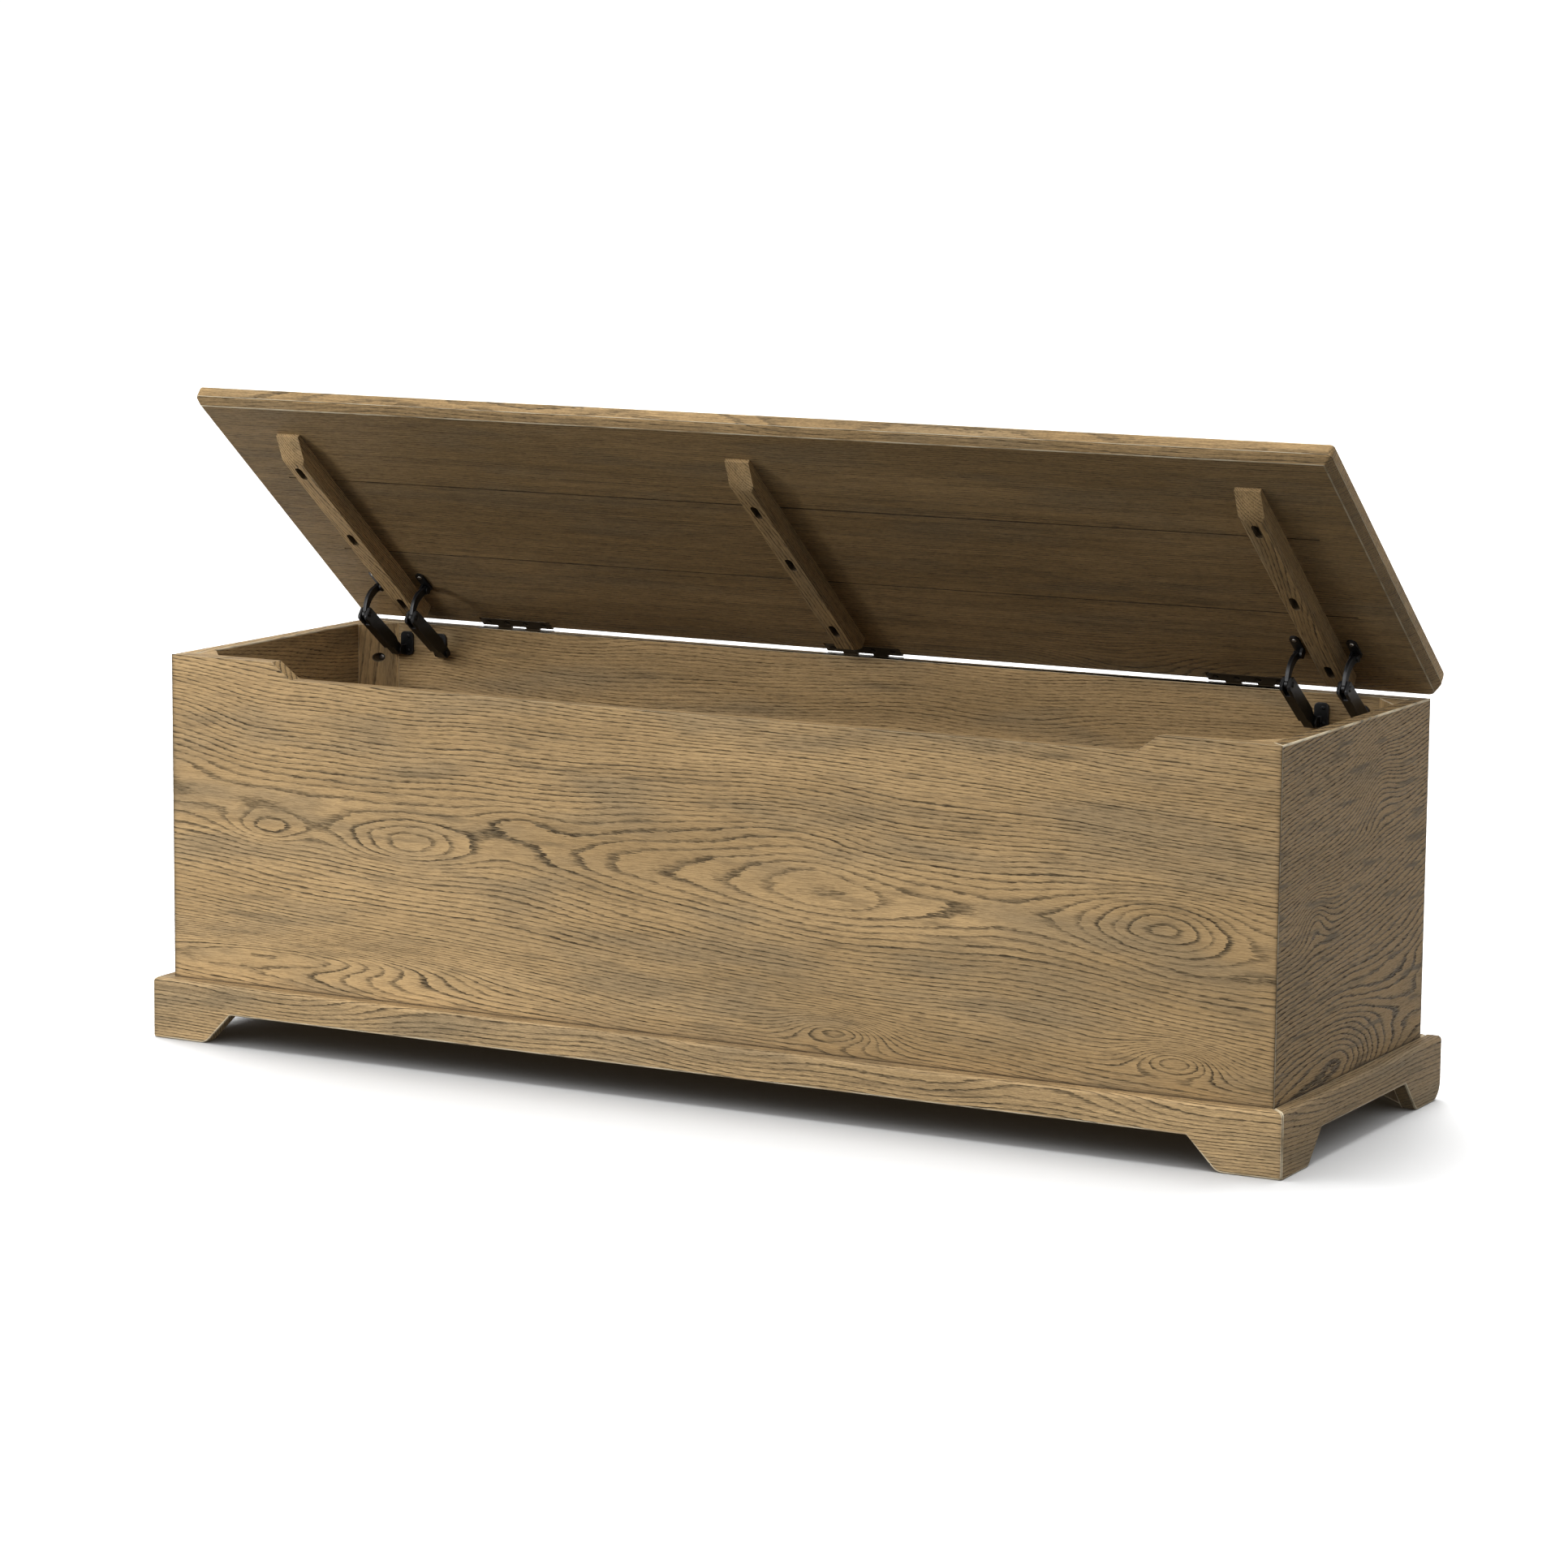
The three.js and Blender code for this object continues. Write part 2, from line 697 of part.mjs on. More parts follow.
function hingePin(x) {
  const end = hingeLength / 2 + sideClearance;
  const pin = roundBar(hingePinRadius, x - end, x + end, 0, 0);
  const left = roundBar(pinHeadRadius, x - end - pinHeadLength, x - end, 0, 0);
  const right = roundBar(pinHeadRadius, x + end, x + end + pinHeadLength, 0, 0);
  return pin.add(left).add(right);
}

function buildHinges() {
  const fixed = new THREE.Group();
  fixed.position.set(0, hingeY, hingeZ);
  bench.add(fixed);
  const boxLeafTop = hingeDrop;
  const lidLeafUnder = lidUnder - leafProud;
  hingePlaces.forEach((x, index) => {
    const name = `hinge_${['left', 'middle', 'right'][index]}`;
    const boxLeaf = hingeLeaf(x, 0, [boxLeafTop - leafThickness, boxLeafTop], glueLine);
    const lidLeaf = hingeLeaf(x, 1, [lidLeafUnder, lidLeafUnder + leafThickness], leafClip);
    addMesh(fixed, `${name}_box_leaf`, boxLeaf, bronze);
    addMesh(fixed, `${name}_pin`, hingePin(x), bronze);
    addMesh(lid, `${name}_lid_leaf`, lidLeaf, bronze);
  });
}

// ---------- lid stays ----------

// hand is 1 where the foot plate lies towards +X of the housing, and -1 where it lies towards -X
function ordered(from, to) {
  return [Math.min(from, to), Math.max(from, to)];
}

// pin with a head, from a lug that stands beside a turning piece of the given width
function studBar(x, hand, width, y, z) {
  const lugFace = x + hand * (width / 2 + sideClearance);
  const far = x - hand * (width / 2 + sideClearance);
  const shank = roundBar(stayPinRadius, ...ordered(lugFace + hand, far - hand), y, z);
  const head = roundBar(stayPinHeadRadius, ...ordered(far, far - hand * stayPinHeadLength), y, z);
  return shank.add(head);
}

// the plate screwed to the back panel, with the lug and pin that carry the housing
function stayFoot(x, hand) {
  const { x: y, y: z } = footPivot;
  const middle = x + hand * footPlateOffset;
  const face = innerY - glueLine;
  const plate = facing(roundedRectangle(middle - footPlateWidth / 2, z + footPlateRise - footPlateHeight / 2,
    footPlateWidth, footPlateHeight, footPlateCorner), face - footPlateThickness, face);
  const near = x + hand * (housingWidth / 2 + sideClearance);
  const lugSpan = ordered(near, near + hand * lugThickness);
  const web = block([lugSpan[0], y, z - lugRadius], [lugSpan[1], face - 1, z + lugRadius]);
  const lug = roundBar(lugRadius, ...lugSpan, y, z).add(web);
  return plate.add(lug).add(studBar(x, hand, housingWidth, y, z));
}

// the spring housing, drawn along its own length from the foot pivot and then turned into place
function stayHousing(x) {
  const length = housingSpan.length();
  const half = housingDepth / 2;
  const neck = housingHeelRadius;
  const nose = length + housingNose;
  const profile = outlineOf([
    [0, -neck],
    [housingNeck - 6, -neck],
    [housingNeck, -half],
    [nose - 3, -half],
    [nose, -half + 3],
    [nose, half - 3],
    [nose - 3, half],
    [housingNeck, half],
    [housingNeck - 3, neck],
    [0, neck],
  ]);
  const [low, high] = [x - housingWidth / 2, x + housingWidth / 2];
  const fork = block([x - forkWidth / 2, length - forkDepth, -half - 1],
    [x + forkWidth / 2, nose + 1, half + 1]);
  const bore = roundBar(stayPinRadius + pivotClearance, low - 1, high + 1, 0, 0);
  const turned = THREE.MathUtils.radToDeg(housingSpan.angle());
  return sideways(profile, low, high)
    .add(roundBar(neck, low, high, 0, 0))
    .subtract(bore)
    .subtract(fork)
    .add(roundBar(stayPinRadius, low, high, length, 0))
    .rotate([turned, 0, 0])
    .translate([0, footPivot.x, footPivot.y]);
}

// the bowed arm from the elbow to the eye
function stayArm(x) {
  const from = elbowPivot;
  const to = elbowPivot.clone().add(armSpan);
  const across = new THREE.Vector2(-armSpan.y, armSpan.x).normalize();
  const bow = from.clone().add(to).multiplyScalar(0.5).addScaledVector(across, 2 * armBow);
  const line = new THREE.QuadraticBezierCurve(from, bow, to);
  const edge = (side) => line.getPoints(2 * arcSteps).map((point, index) => {
    const tangent = line.getTangent(index / (2 * arcSteps));
    return [point.x - side * tangent.y * armWidth / 2, point.y + side * tangent.x * armWidth / 2];
  });
  const [low, high] = [x - armThickness / 2, x + armThickness / 2];
  const bore = stayPinRadius + pivotClearance;
  return sideways(outlineOf([...edge(1), ...edge(-1).reverse()]), low, high)
    .add(roundBar(armEndRadius, low, high, from.x, from.y))
    .add(roundBar(armEndRadius, low, high, to.x, to.y))
    .subtract(roundBar(bore, low - 1, high + 1, from.x, from.y))
    .subtract(roundBar(bore, low - 1, high + 1, to.x, to.y));
}

// the eye plate under the lid, with the lug and pin that hold the arm; in the lid's frame
function stayEye(x, hand) {
  const top = lidUnder - turnedGap;
  const under = top - eyePlateThickness;
  const corner = eyePlateWidth / 2 - 0.1;
  const plate = standing(roundedRectangle(x - eyePlateWidth / 2, eyeY - eyePlateFront, eyePlateWidth,
    eyePlateFront + eyePlateRear, corner), under, top);
  const near = x + hand * (armThickness / 2 + sideClearance);
  const lugSpan = ordered(near, near + hand * lugThickness);
  const web = block([lugSpan[0], eyeY - armEndRadius, eyeZ], [lugSpan[1], eyeY + armEndRadius, under + 1]);
  const lug = roundBar(armEndRadius, ...lugSpan, eyeY, eyeZ).add(web);
  return plate.add(lug).add(studBar(x, hand, armThickness, eyeY, eyeZ));
}

function buildStays() {
  for (const pair of stayPairs) {
    for (const place of ['outer', 'inner']) {
      const x = stayPairX(pair) + pair.side * stayPairHalf * (place === 'outer' ? 1 : -1);
      const hand = x < stayPairX(pair) ? 1 : -1;
      const name = `stay_${pair.name}_${place}`;
      addMesh(bench, `${name}_foot`, stayFoot(x, hand), blackMetal);
      addMesh(bench, `${name}_housing`, stayHousing(x), blackMetal);
      addMesh(bench, `${name}_arm`, stayArm(x), blackMetal);
      addMesh(lid, `${name}_eye`, stayEye(x, hand), blackMetal);
    }
  }
}

buildBox();
buildPlinth();
buildLid();
buildHinges();
buildStays();

export default bench;
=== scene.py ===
import json
from dataclasses import dataclass
from math import cos, pi, radians, sin

import bmesh
import bpy
from bpy.props import FloatProperty, FloatVectorProperty, IntProperty, PointerProperty
from bpy.types import Operator, Panel, PropertyGroup
from mathutils import Matrix, Vector


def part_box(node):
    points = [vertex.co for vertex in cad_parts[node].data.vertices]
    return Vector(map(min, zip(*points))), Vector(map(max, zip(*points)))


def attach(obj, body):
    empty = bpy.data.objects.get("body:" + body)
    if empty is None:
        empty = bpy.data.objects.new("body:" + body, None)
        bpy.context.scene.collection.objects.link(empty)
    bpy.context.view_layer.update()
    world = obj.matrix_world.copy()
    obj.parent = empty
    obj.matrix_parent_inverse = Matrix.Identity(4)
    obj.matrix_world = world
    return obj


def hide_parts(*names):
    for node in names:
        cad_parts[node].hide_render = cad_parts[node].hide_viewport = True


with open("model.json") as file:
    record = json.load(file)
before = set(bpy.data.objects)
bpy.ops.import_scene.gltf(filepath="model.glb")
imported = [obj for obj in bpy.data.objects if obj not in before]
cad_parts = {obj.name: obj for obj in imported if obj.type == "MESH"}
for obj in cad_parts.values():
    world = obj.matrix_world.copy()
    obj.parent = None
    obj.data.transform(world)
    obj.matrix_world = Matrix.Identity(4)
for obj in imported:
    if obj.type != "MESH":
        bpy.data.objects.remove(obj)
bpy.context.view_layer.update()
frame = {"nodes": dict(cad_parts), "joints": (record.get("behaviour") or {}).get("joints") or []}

bl_info = {
    "name": "Storage Bench",
    "version": (1, 0, 0),
    "blender": (4, 5, 0),
    "location": "3D View > Sidebar > Bench",
    "description": "Finishes an oak storage bench with a propped lid, round its packed frame",
    "category": "Add Mesh",
}

WELD = 1e-6  # points closer than this are one point
FLAT = radians(0.5)  # facets that turn less than this are one face
CREASE = radians(30)  # edges that turn more than this are arrises
SHARP = radians(40)  # edges that turn more than this are shaded sharp
INWARD = 0.0005  # how far inside a board the faces of a slot, bore or kerf start
UP = Vector((0, 0, 1))
RIGHT = Vector((1, 0, 0))
BACK = Vector((0, 1, 0))

# the lid's own frame: its origin is on the hinge axis, and it is level when the lid is shut
lid_joint = next(joint for joint in frame["joints"] if joint["name"] == "lid_hinge")
hinge_axis = Vector(lid_joint["pos_m"])
lid_turn = Matrix.Rotation(radians(lid_joint["range_deg"][0]), 4, "X")
lid_place = Matrix.Translation(hinge_axis) @ lid_turn
lid_along = lid_turn @ BACK
lid_up = lid_turn @ UP


def linear(code):
    """A linear colour from its six-digit sRGB code."""
    shares = [int(code[index:index + 2], 16) / 255 for index in (0, 2, 4)]
    return tuple(c / 12.92 if c <= 0.04045 else ((c + 0.055) / 1.055) ** 2.4 for c in shares)


def length(name, text, default):
    """A length in metres, for a property group."""
    return FloatProperty(name=name, description=text, default=default, subtype="DISTANCE",
                         unit="LENGTH")


def colour(name, text, code):
    """A colour, for a property group."""
    return FloatVectorProperty(name=name, description=text, default=(*linear(code), 1.0), size=4,
                               subtype="COLOR", min=0, max=1)


# ---------- what a user would change ----------

class BenchSizes(PropertyGroup):
    """Sizes of the finish and of the small fittings."""

    arris: length("Arris", "Eased edge of the boards", 0.0021)
    metal_arris: length("Metal arris", "Eased edge of the hinge pins", 0.0005)
    leaf_arris: length("Leaf arris", "Eased edge of the hinge leaves", 0.0009)
    lid_top_ease: length("Lid top ease", "Rounding of the lid's upper edge", 0.003)
    lid_band: length("Lid band", "Upright band of the lid's edge", 0.0115)
    lid_quirk: length("Lid quirk", "Depth of the small groove under the band", 0.0012)
    lid_bevel: length("Lid bevel", "Run of the bevel under the lid's edge", 0.008)
    lid_rear_corner: length("Rear corner", "Radius of the lid's rear corners", 0.018)
    lid_front_corner: length("Front corner", "Radius of the lid's front corners", 0.006)
    screw_head: length("Screw head", "Radius of a hinge screw's head", 0.0037)
    small_head: length("Small head", "Radius of a stay screw's head", 0.0027)


class BenchColours(PropertyGroup):
    """Colours of the finishes."""

    oak_light: colour("Light oak", "Summer wood of the oak", "C9A878")
    oak_dark: colour("Dark oak", "Shaded boards of the oak", "957A52")
    oak_grey: colour("Grey oak", "Weathered patches of the oak", "85755B")
    oak_spring: colour("Spring wood", "Spring wood of each ring", "5C4E38")
    oak_pore: colour("Pores", "Brushed-out pores", "3E3120")
    # painted shade: the dark colour laid in slots, bores and kerfs, and in part on faces that look down
    oak_painted_shade: colour("Pockets", "Stain pooled in slots, bores and kerfs", "1C150D")
    # worn wood and painted highlight: the pale colour laid on rounded arrises
    oak_worn_and_highlight: colour("Worn arris", "Wood where edges are rubbed", "EADCBE")
    bronze: colour("Bronze", "Antique bronze of the hinges", "463A29")
    bronze_head: colour("Bronze screws", "Heads of the hinge screws", "3C342A")
    # worn bronze and painted highlight on the hinges' edges
    bronze_worn_and_highlight: colour("Rubbed bronze", "Bright edges of the hinges", "E6DAC6")
    black: colour("Black", "Satin black of the lid stays", "0D0D0E")
    steel: colour("Steel", "Dull zinc of the screws", "8E8A84")
    floor: colour("Floor", "Studio floor", "B4B4B4")


class BenchGrain(PropertyGroup):
    """How the oak is figured."""

    ring: length("Ring", "Width of one year's growth", 0.0037)
    pore_length: length("Pore length", "Length of a brushed-out pore", 0.012)
    pore_width: length("Pore width", "Width of a brushed-out pore", 0.0011)
    relief: length("Relief", "Depth of the brushing", 0.0005)
    seed: IntProperty(name="Seed", description="Which tree the boards are cut from", default=3)


def sizes():
    return bpy.context.scene.bench_sizes


def colours():
    return bpy.context.scene.bench_colours


def grain():
    return bpy.context.scene.bench_grain


# ---------- shader maths ----------

class Wire:
    """A socket of a material's nodes. Arithmetic on it adds Math nodes."""

    def __init__(self, tree, socket=None):
        self.tree = tree
        self.socket = socket

    def node(self, kind, settings=None, sockets=None, output=0):
        """Adds a node: its settings first, then values or wires into its sockets."""
        made = self.tree.nodes.new(kind)
        for name, value in (settings or {}).items():
            if name == "stops":
                set_stops(made.color_ramp, value)
            else:
                setattr(made, name, value)
        for name, value in (sockets or {}).items():
            if isinstance(value, Wire):
                self.tree.links.new(value.socket, made.inputs[name])
            else:
                made.inputs[name].default_value = value
        return Wire(self.tree, made.outputs[output])

    def math(self, operation, *values, clamp=False):
        settings = {"operation": operation, "use_clamp": clamp}
        return self.node("ShaderNodeMath", settings, dict(enumerate(values)))

    def __add__(self, other):
        return self.math("ADD", self, other)

    def __radd__(self, other):
        return self.math("ADD", other, self)

    def __sub__(self, other):
        return self.math("SUBTRACT", self, other)

    def __rsub__(self, other):
        return self.math("SUBTRACT", other, self)

    def __mul__(self, other):
        return self.math("MULTIPLY", self, other)

    def __rmul__(self, other):
        return self.math("MULTIPLY", other, self)

    def __truediv__(self, other):
        return self.math("DIVIDE", self, other)

    def __neg__(self):
        return self.math("MULTIPLY", self, -1.0)

    def root(self):
        return self.math("SQRT", self)

    def fraction(self):
        return self.math("FRACT", self)

    def exp(self):
        return self.math("EXPONENT", self)

    def size(self):
        return self.math("ABSOLUTE", self)

    def whole(self):
        return self.math("FLOOR", self)

    def chance(self):
        """An even chance from 0 to 1, the same for equal values."""
        return self.node("ShaderNodeTexWhiteNoise", {"noise_dimensions": "1D"}, {"W": self}, "Value")

    def clamped(self):
        return self.math("ADD", self, 0.0, clamp=True)

    def step(self, low, high):
        """0 below low and 1 above high, with a smooth rise between."""
        settings = {"interpolation_type": "SMOOTHSTEP"}
        sockets = {"Value": self, "From Min": low, "From Max": high}
        return self.node("ShaderNodeMapRange", settings, sockets)

    def dot(self, direction):
        """The share of this vector along a direction."""
        settings = {"operation": "DOT_PRODUCT"}
        return self.node("ShaderNodeVectorMath", settings, {0: self, 1: tuple(direction)}, "Value")

    def vector(self, x, y, z):
        return self.node("ShaderNodeCombineXYZ", None, {"X": x, "Y": y, "Z": z})

    def noise(self, place, detail=2.0, roughness=0.5, scale=1.0):
        sockets = {"Vector": place, "Scale": scale, "Detail": detail, "Roughness": roughness}
        return self.node("ShaderNodeTexNoise", None, sockets, "Fac")

    def attribute(self, name):
        """A mark that the mesh carries on its faces."""
        return self.node("ShaderNodeAttribute", {"attribute_name": name}, output="Fac")

    def spread(self, least, more):
        """least where this is 0, and more above that where it is 1."""
        return least + more * self

    def ramp(self, *stops):
        return self.node("ShaderNodeValToRGB", {"stops": stops}, {"Fac": self})

    def mix(self, first, second):
        """From the first colour to the second, as this wire goes from 0 to 1."""
        settings = {"data_type": "RGBA"}
        return self.node("ShaderNodeMix", settings, {0: self, 6: first, 7: second}, 2)

    def shade(self, amount):
        """This colour made lighter or darker: amount is 1 where it stays as it is."""
        settings = {"data_type": "RGBA", "blend_type": "MULTIPLY"}
        grey = self.vector(amount, amount, amount)
        return self.node("ShaderNodeMix", settings, {0: 1.0, 6: self, 7: grey}, 2)


def set_stops(ramp, stops):
    """Stops of a ramp, each a place from 0 to 1 and a grey from 0 to 1."""
    while len(ramp.elements) < len(stops):
        ramp.elements.new(1.0)
    for element, (place, grey) in zip(ramp.elements, stops):
        element.position = place
        element.color = (grey, grey, grey, 1.0)


def new_finish(name):
    """An empty material with a Principled shader; gives the material, a wire and the shader."""
    finish = bpy.data.materials.new(name)
    finish.use_nodes = True
    shader = finish.node_tree.nodes["Principled BSDF"]
    return finish, Wire(finish.node_tree), shader


def plug(wire, shader, name):
    wire.tree.links.new(wire.socket, shader.inputs[name])


def bump(wire, height, distance, strength=1.0):
    sockets = {"Height": height, "Distance": distance, "Strength": strength}
    return wire.node("ShaderNodeBump", None, sockets)


# ---------- oak ----------

@dataclass
class Board:
    """How one board was cut: its directions, the tree's heart, and the figure on its face.

    Places on the face are metres along and across from the board's middle. An eye is a small
    knot's figure: (along, across, half length, half height, how many rings it takes away).
    """

    along: Vector
    across: Vector
    heart: float = 0.0  # how far across the heart lies
    depth: float = 0.07  # how far the heart lies behind the board's middle
    bow: float = 0.05  # how far the heart wanders nearer and farther
    eyes: tuple = ()
    tone: float = 0.0  # darker above 0, lighter below
    grey: float = 0.0  # more weathered above 0, less below
    seed: float = 0.0
    ring: float = 1.0  # width of its rings, against the tree's
    bend: float = 0.0  # how far the heart moves across in a metre
    taper: float = 0.0  # how far it moves deeper in a metre
    bold: float = 1.0  # strength of the rings
    streak: float = 1.0  # strength of the fibre
    mitre: float = 0.0  # how far along the mitred ends are, if it has any
    shaded_seams: tuple = ()  # places across where another board meets its face, each with a dark line of dirt and painted shade


# noises in the oak: metres long, metres wide, place in the noise, detail, roughness
PATTERNS = {
    "sway": (0.55, 0.45, 1.0),  # the heart wanders across the board
    "lift": (0.42, 0.3, 2.0, 1.0),  # and nearer its face and farther
    "uneven": (0.5, 0.04, 3.5, 1.0),  # wide and narrow years
    "ripple": (0.07, 0.014, 3.0),  # waves in the rings
    "feather": (0.014, 0.0014, 4.5, 1.0),  # their ragged edges
    "showing": (0.1, 0.016, 4.0),  # where spring wood shows most
    "fibre": (0.045, 0.0012, 6.0, 2.0, 0.65),
    "speck": (0.004, 0.0009, 6.5, 1.0),
    "patch": (0.5, 0.09, 7.0, 3.0),  # darker stretches
    "cloud": (0.2, 0.045, 8.0, 3.0),  # weathered patches
    "rubbed_and_lit": (0.05, 0.03, 9.0),  # where arrises are rubbed and get painted highlight
    "broad": (0.3, 0.007, 10.0, 2.0),  # broad streaks
    "smudge": (0.085, 0.011, 11.0, 3.0),  # short dark smears
}
PORE_PLACE = 5.0
SWAY_REACH = 0.035  # metres that the heart wanders across
UNEVEN_RINGS = 2.4  # rings that each noise shifts the figure by
RIPPLE_RINGS = 0.65
FEATHER_RINGS = 0.4
YEAR_SPREAD = (0.5, 0.6)  # the least, and how much more at the most
SHOWING_SPREAD = (0.3, 1.2)
PORE_SPREAD = (0.2, 0.8)  # how full the pores are in summer wood, and how much more in spring wood
PATCH_SPREAD = (-0.25, 1.5)
RUB_AND_HIGHLIGHT_SPREAD = (0.18, 0.6)
SPRING_STOPS = ((0.0, 0.0), (0.06, 1.0), (0.2, 0.75), (0.36, 0.12), (1.0, 0.0))
PORE_EDGE = (0.47, 0.62)  # where in its noise each mark starts and is full
CLOUD_EDGE = (0.42, 0.72)
SMUDGE_EDGE = (0.54, 0.78)
RUB_AND_HIGHLIGHT_EDGE = (0.3, 0.62)
CLOUD_SHARE = 0.55  # how much of its colour each mark lays on
SPRING_SHARE = 0.8
PORE_SHARE = 0.8
SMUDGE_SHARE = 0.42
# share of painted shade in slots, bores, kerfs and on faces that look down
PAINTED_SHADE_SHARE = 0.8
SEAM_SHADE_WIDTH = 0.0016
MITRE_WIDTH = 0.0019
PLAIN_SHADE = 1.01
FIBRE_SHADE = 0.52  # how far each noise lightens and darkens the wood
SPECK_SHADE = 0.3
BROAD_SHADE = 0.25
OAK_ROUGHNESS = 0.56
CLOUD_ROUGHNESS = 0.16
PORE_ROUGHNESS = 0.2
OAK_GLOSS = 0.16
FIBRE_HEIGHT = 0.35  # shares of the brushing's depth
PORE_HEIGHT = 1.0
SPRING_HEIGHT = 0.35


def oak(name, board, middle):
    """Wire-brushed oak: growth rings round the tree's heart, with pores along the grain."""
    made = grain()
    paint = colours()
    finish, wire, shader = new_finish(f"oak_{name}")
    place = wire.node("ShaderNodeTexCoord", output="Object")
    through = board.along.cross(board.across)
    u = place.dot(board.along) - middle.dot(board.along)
    v = place.dot(board.across) - middle.dot(board.across)
    w = place.dot(through) - middle.dot(through)
    seed = board.seed + 10.0 * made.seed

    def grown(long, wide, shift, detail=2.0, roughness=0.5):
        """Noise with features that many metres long and wide."""
        spot = wire.vector(u / long + (seed + shift), v / wide + shift, w / wide + seed)
        return wire.noise(spot, detail, roughness)

    def pattern(name):
        return grown(*PATTERNS[name])

    # growth rings: distance from a heart that wanders along the board
    sway = pattern("sway") - 0.5
    lift = pattern("lift") - 0.5
    side = v - board.heart + sway * SWAY_REACH + u * board.bend
    deep = w + board.depth + lift * board.bow + u * board.taper
    radius = (side * side + deep * deep).root()
    uneven = (pattern("uneven") - 0.5) * UNEVEN_RINGS
    ripple = (pattern("ripple") - 0.5) * RIPPLE_RINGS
    feather = (pattern("feather") - 0.5) * FEATHER_RINGS
    rings = radius / (made.ring * board.ring) + uneven + ripple + feather
    for along, across, half_length, half_height, rise in board.eyes:
        out_u = (u - along) / half_length
        out_v = (v - across) / half_height
        rings = rings - (-(out_u * out_u + out_v * out_v)).exp() * rise
    vigour = rings.whole().chance().spread(*YEAR_SPREAD)
    spring = rings.fraction().ramp(*SPRING_STOPS) * vigour
    spring = spring * pattern("showing").spread(*SHOWING_SPREAD) * board.bold

    # pores: short dark dashes, thick in the spring wood
    dash = grown(made.pore_length, made.pore_width, PORE_PLACE, 1.0).step(*PORE_EDGE)
    pores = dash * spring.spread(*PORE_SPREAD)
    fibre = pattern("fibre")
    cloud = pattern("cloud")

    # colour
    tint = (pattern("patch").spread(*PATCH_SPREAD) + board.tone).clamped()
    wood = tint.mix(paint.oak_light, paint.oak_dark)
    weather = (cloud.step(*CLOUD_EDGE) * CLOUD_SHARE + board.grey).clamped()
    wood = weather.mix(wood, paint.oak_grey)
    wood = (spring * SPRING_SHARE).clamped().mix(wood, paint.oak_spring)
    wood = (pores * PORE_SHARE).clamped().mix(wood, paint.oak_pore)
    smudge = pattern("smudge").step(*SMUDGE_EDGE) * (SMUDGE_SHARE * board.bold)
    wood = smudge.clamped().mix(wood, paint.oak_spring)
    # dirt and painted shade: a dark line where another board meets the face
    for across in board.shaded_seams:
        wood = (-(v - across).size() / SEAM_SHADE_WIDTH).exp().mix(wood, paint.oak_pore)
    fine = FIBRE_SHADE * (fibre - 0.5) + SPECK_SHADE * (pattern("speck") - 0.5)
    fine = fine + BROAD_SHADE * (pattern("broad") - 0.5)
    wood = wood.shade(PLAIN_SHADE + board.streak * fine)
    # worn arrises and painted highlight: a pale colour on the rounded edges
    rub_and_highlight = wire.attribute("arris") * pattern("rubbed_and_lit").step(*RUB_AND_HIGHLIGHT_EDGE).spread(*RUB_AND_HIGHLIGHT_SPREAD)
    wood = rub_and_highlight.mix(wood, paint.oak_worn_and_highlight)
    if board.mitre:
        joint = (-(u.size() - board.mitre).size() / MITRE_WIDTH).exp()
        wood = joint.mix(wood, paint.oak_pore)
    # painted shade: the dark colour in slots, bores and kerfs, and a share of it on faces that look
    # down
    wood = (wire.attribute("pocket") * PAINTED_SHADE_SHARE).mix(wood, paint.oak_painted_shade)
    plug(wood, shader, "Base Color")
    roughness = OAK_ROUGHNESS + CLOUD_ROUGHNESS * cloud + PORE_ROUGHNESS * pores
    plug(roughness, shader, "Roughness")
    shader.inputs["Specular IOR Level"].default_value = OAK_GLOSS
    height = fibre * FIBRE_HEIGHT - pores * PORE_HEIGHT - spring * SPRING_HEIGHT
    plug(bump(wire, height, made.relief), shader, "Normal")
    return finish


# ---------- metals ----------

MOTTLE_SCALE = 90.0  # how fine the mottling and the surface's texture are
TEXTURE_SCALE = 900.0
METAL_RUB_AND_HIGHLIGHT_EDGE = (0.3, 0.62)
MOTTLE_ROUGHNESS = 0.16
TEXTURE_ROUGHNESS = 0.06
METAL_RELIEF = 0.00008
# worn edges with painted highlight on the black; worn edges on the zinc
BLACK_WORN_AND_HIGHLIGHT = (0.07, 0.07, 0.075, 1.0)
ZINC_WORN = (0.7, 0.68, 0.66, 1.0)


def metal(name, base, worn_and_highlight, roughness, metallic, wear_and_highlight, mottle):
    """A finished metal: mottled, and painted brighter on its arrises for wear and highlight."""
    finish, wire, shader = new_finish(name)
    place = wire.node("ShaderNodeTexCoord", output="Object")
    cloud = wire.noise(place, 3.0, 0.6, MOTTLE_SCALE)
    fine = wire.noise(place, 2.0, 0.5, TEXTURE_SCALE)
    rub_and_highlight = (wire.attribute("arris") * cloud.step(*METAL_RUB_AND_HIGHLIGHT_EDGE) * wear_and_highlight).clamped()
    face = rub_and_highlight.mix(base, worn_and_highlight).shade(1.0 - mottle / 2 + mottle * cloud)
    plug(face, shader, "Base Color")
    shader.inputs["Metallic"].default_value = metallic
    rough = roughness - MOTTLE_ROUGHNESS / 2 + MOTTLE_ROUGHNESS * cloud + TEXTURE_ROUGHNESS * fine
    plug(rough, shader, "Roughness")
    plug(bump(wire, fine, METAL_RELIEF, 0.5), shader, "Normal")
    return finish


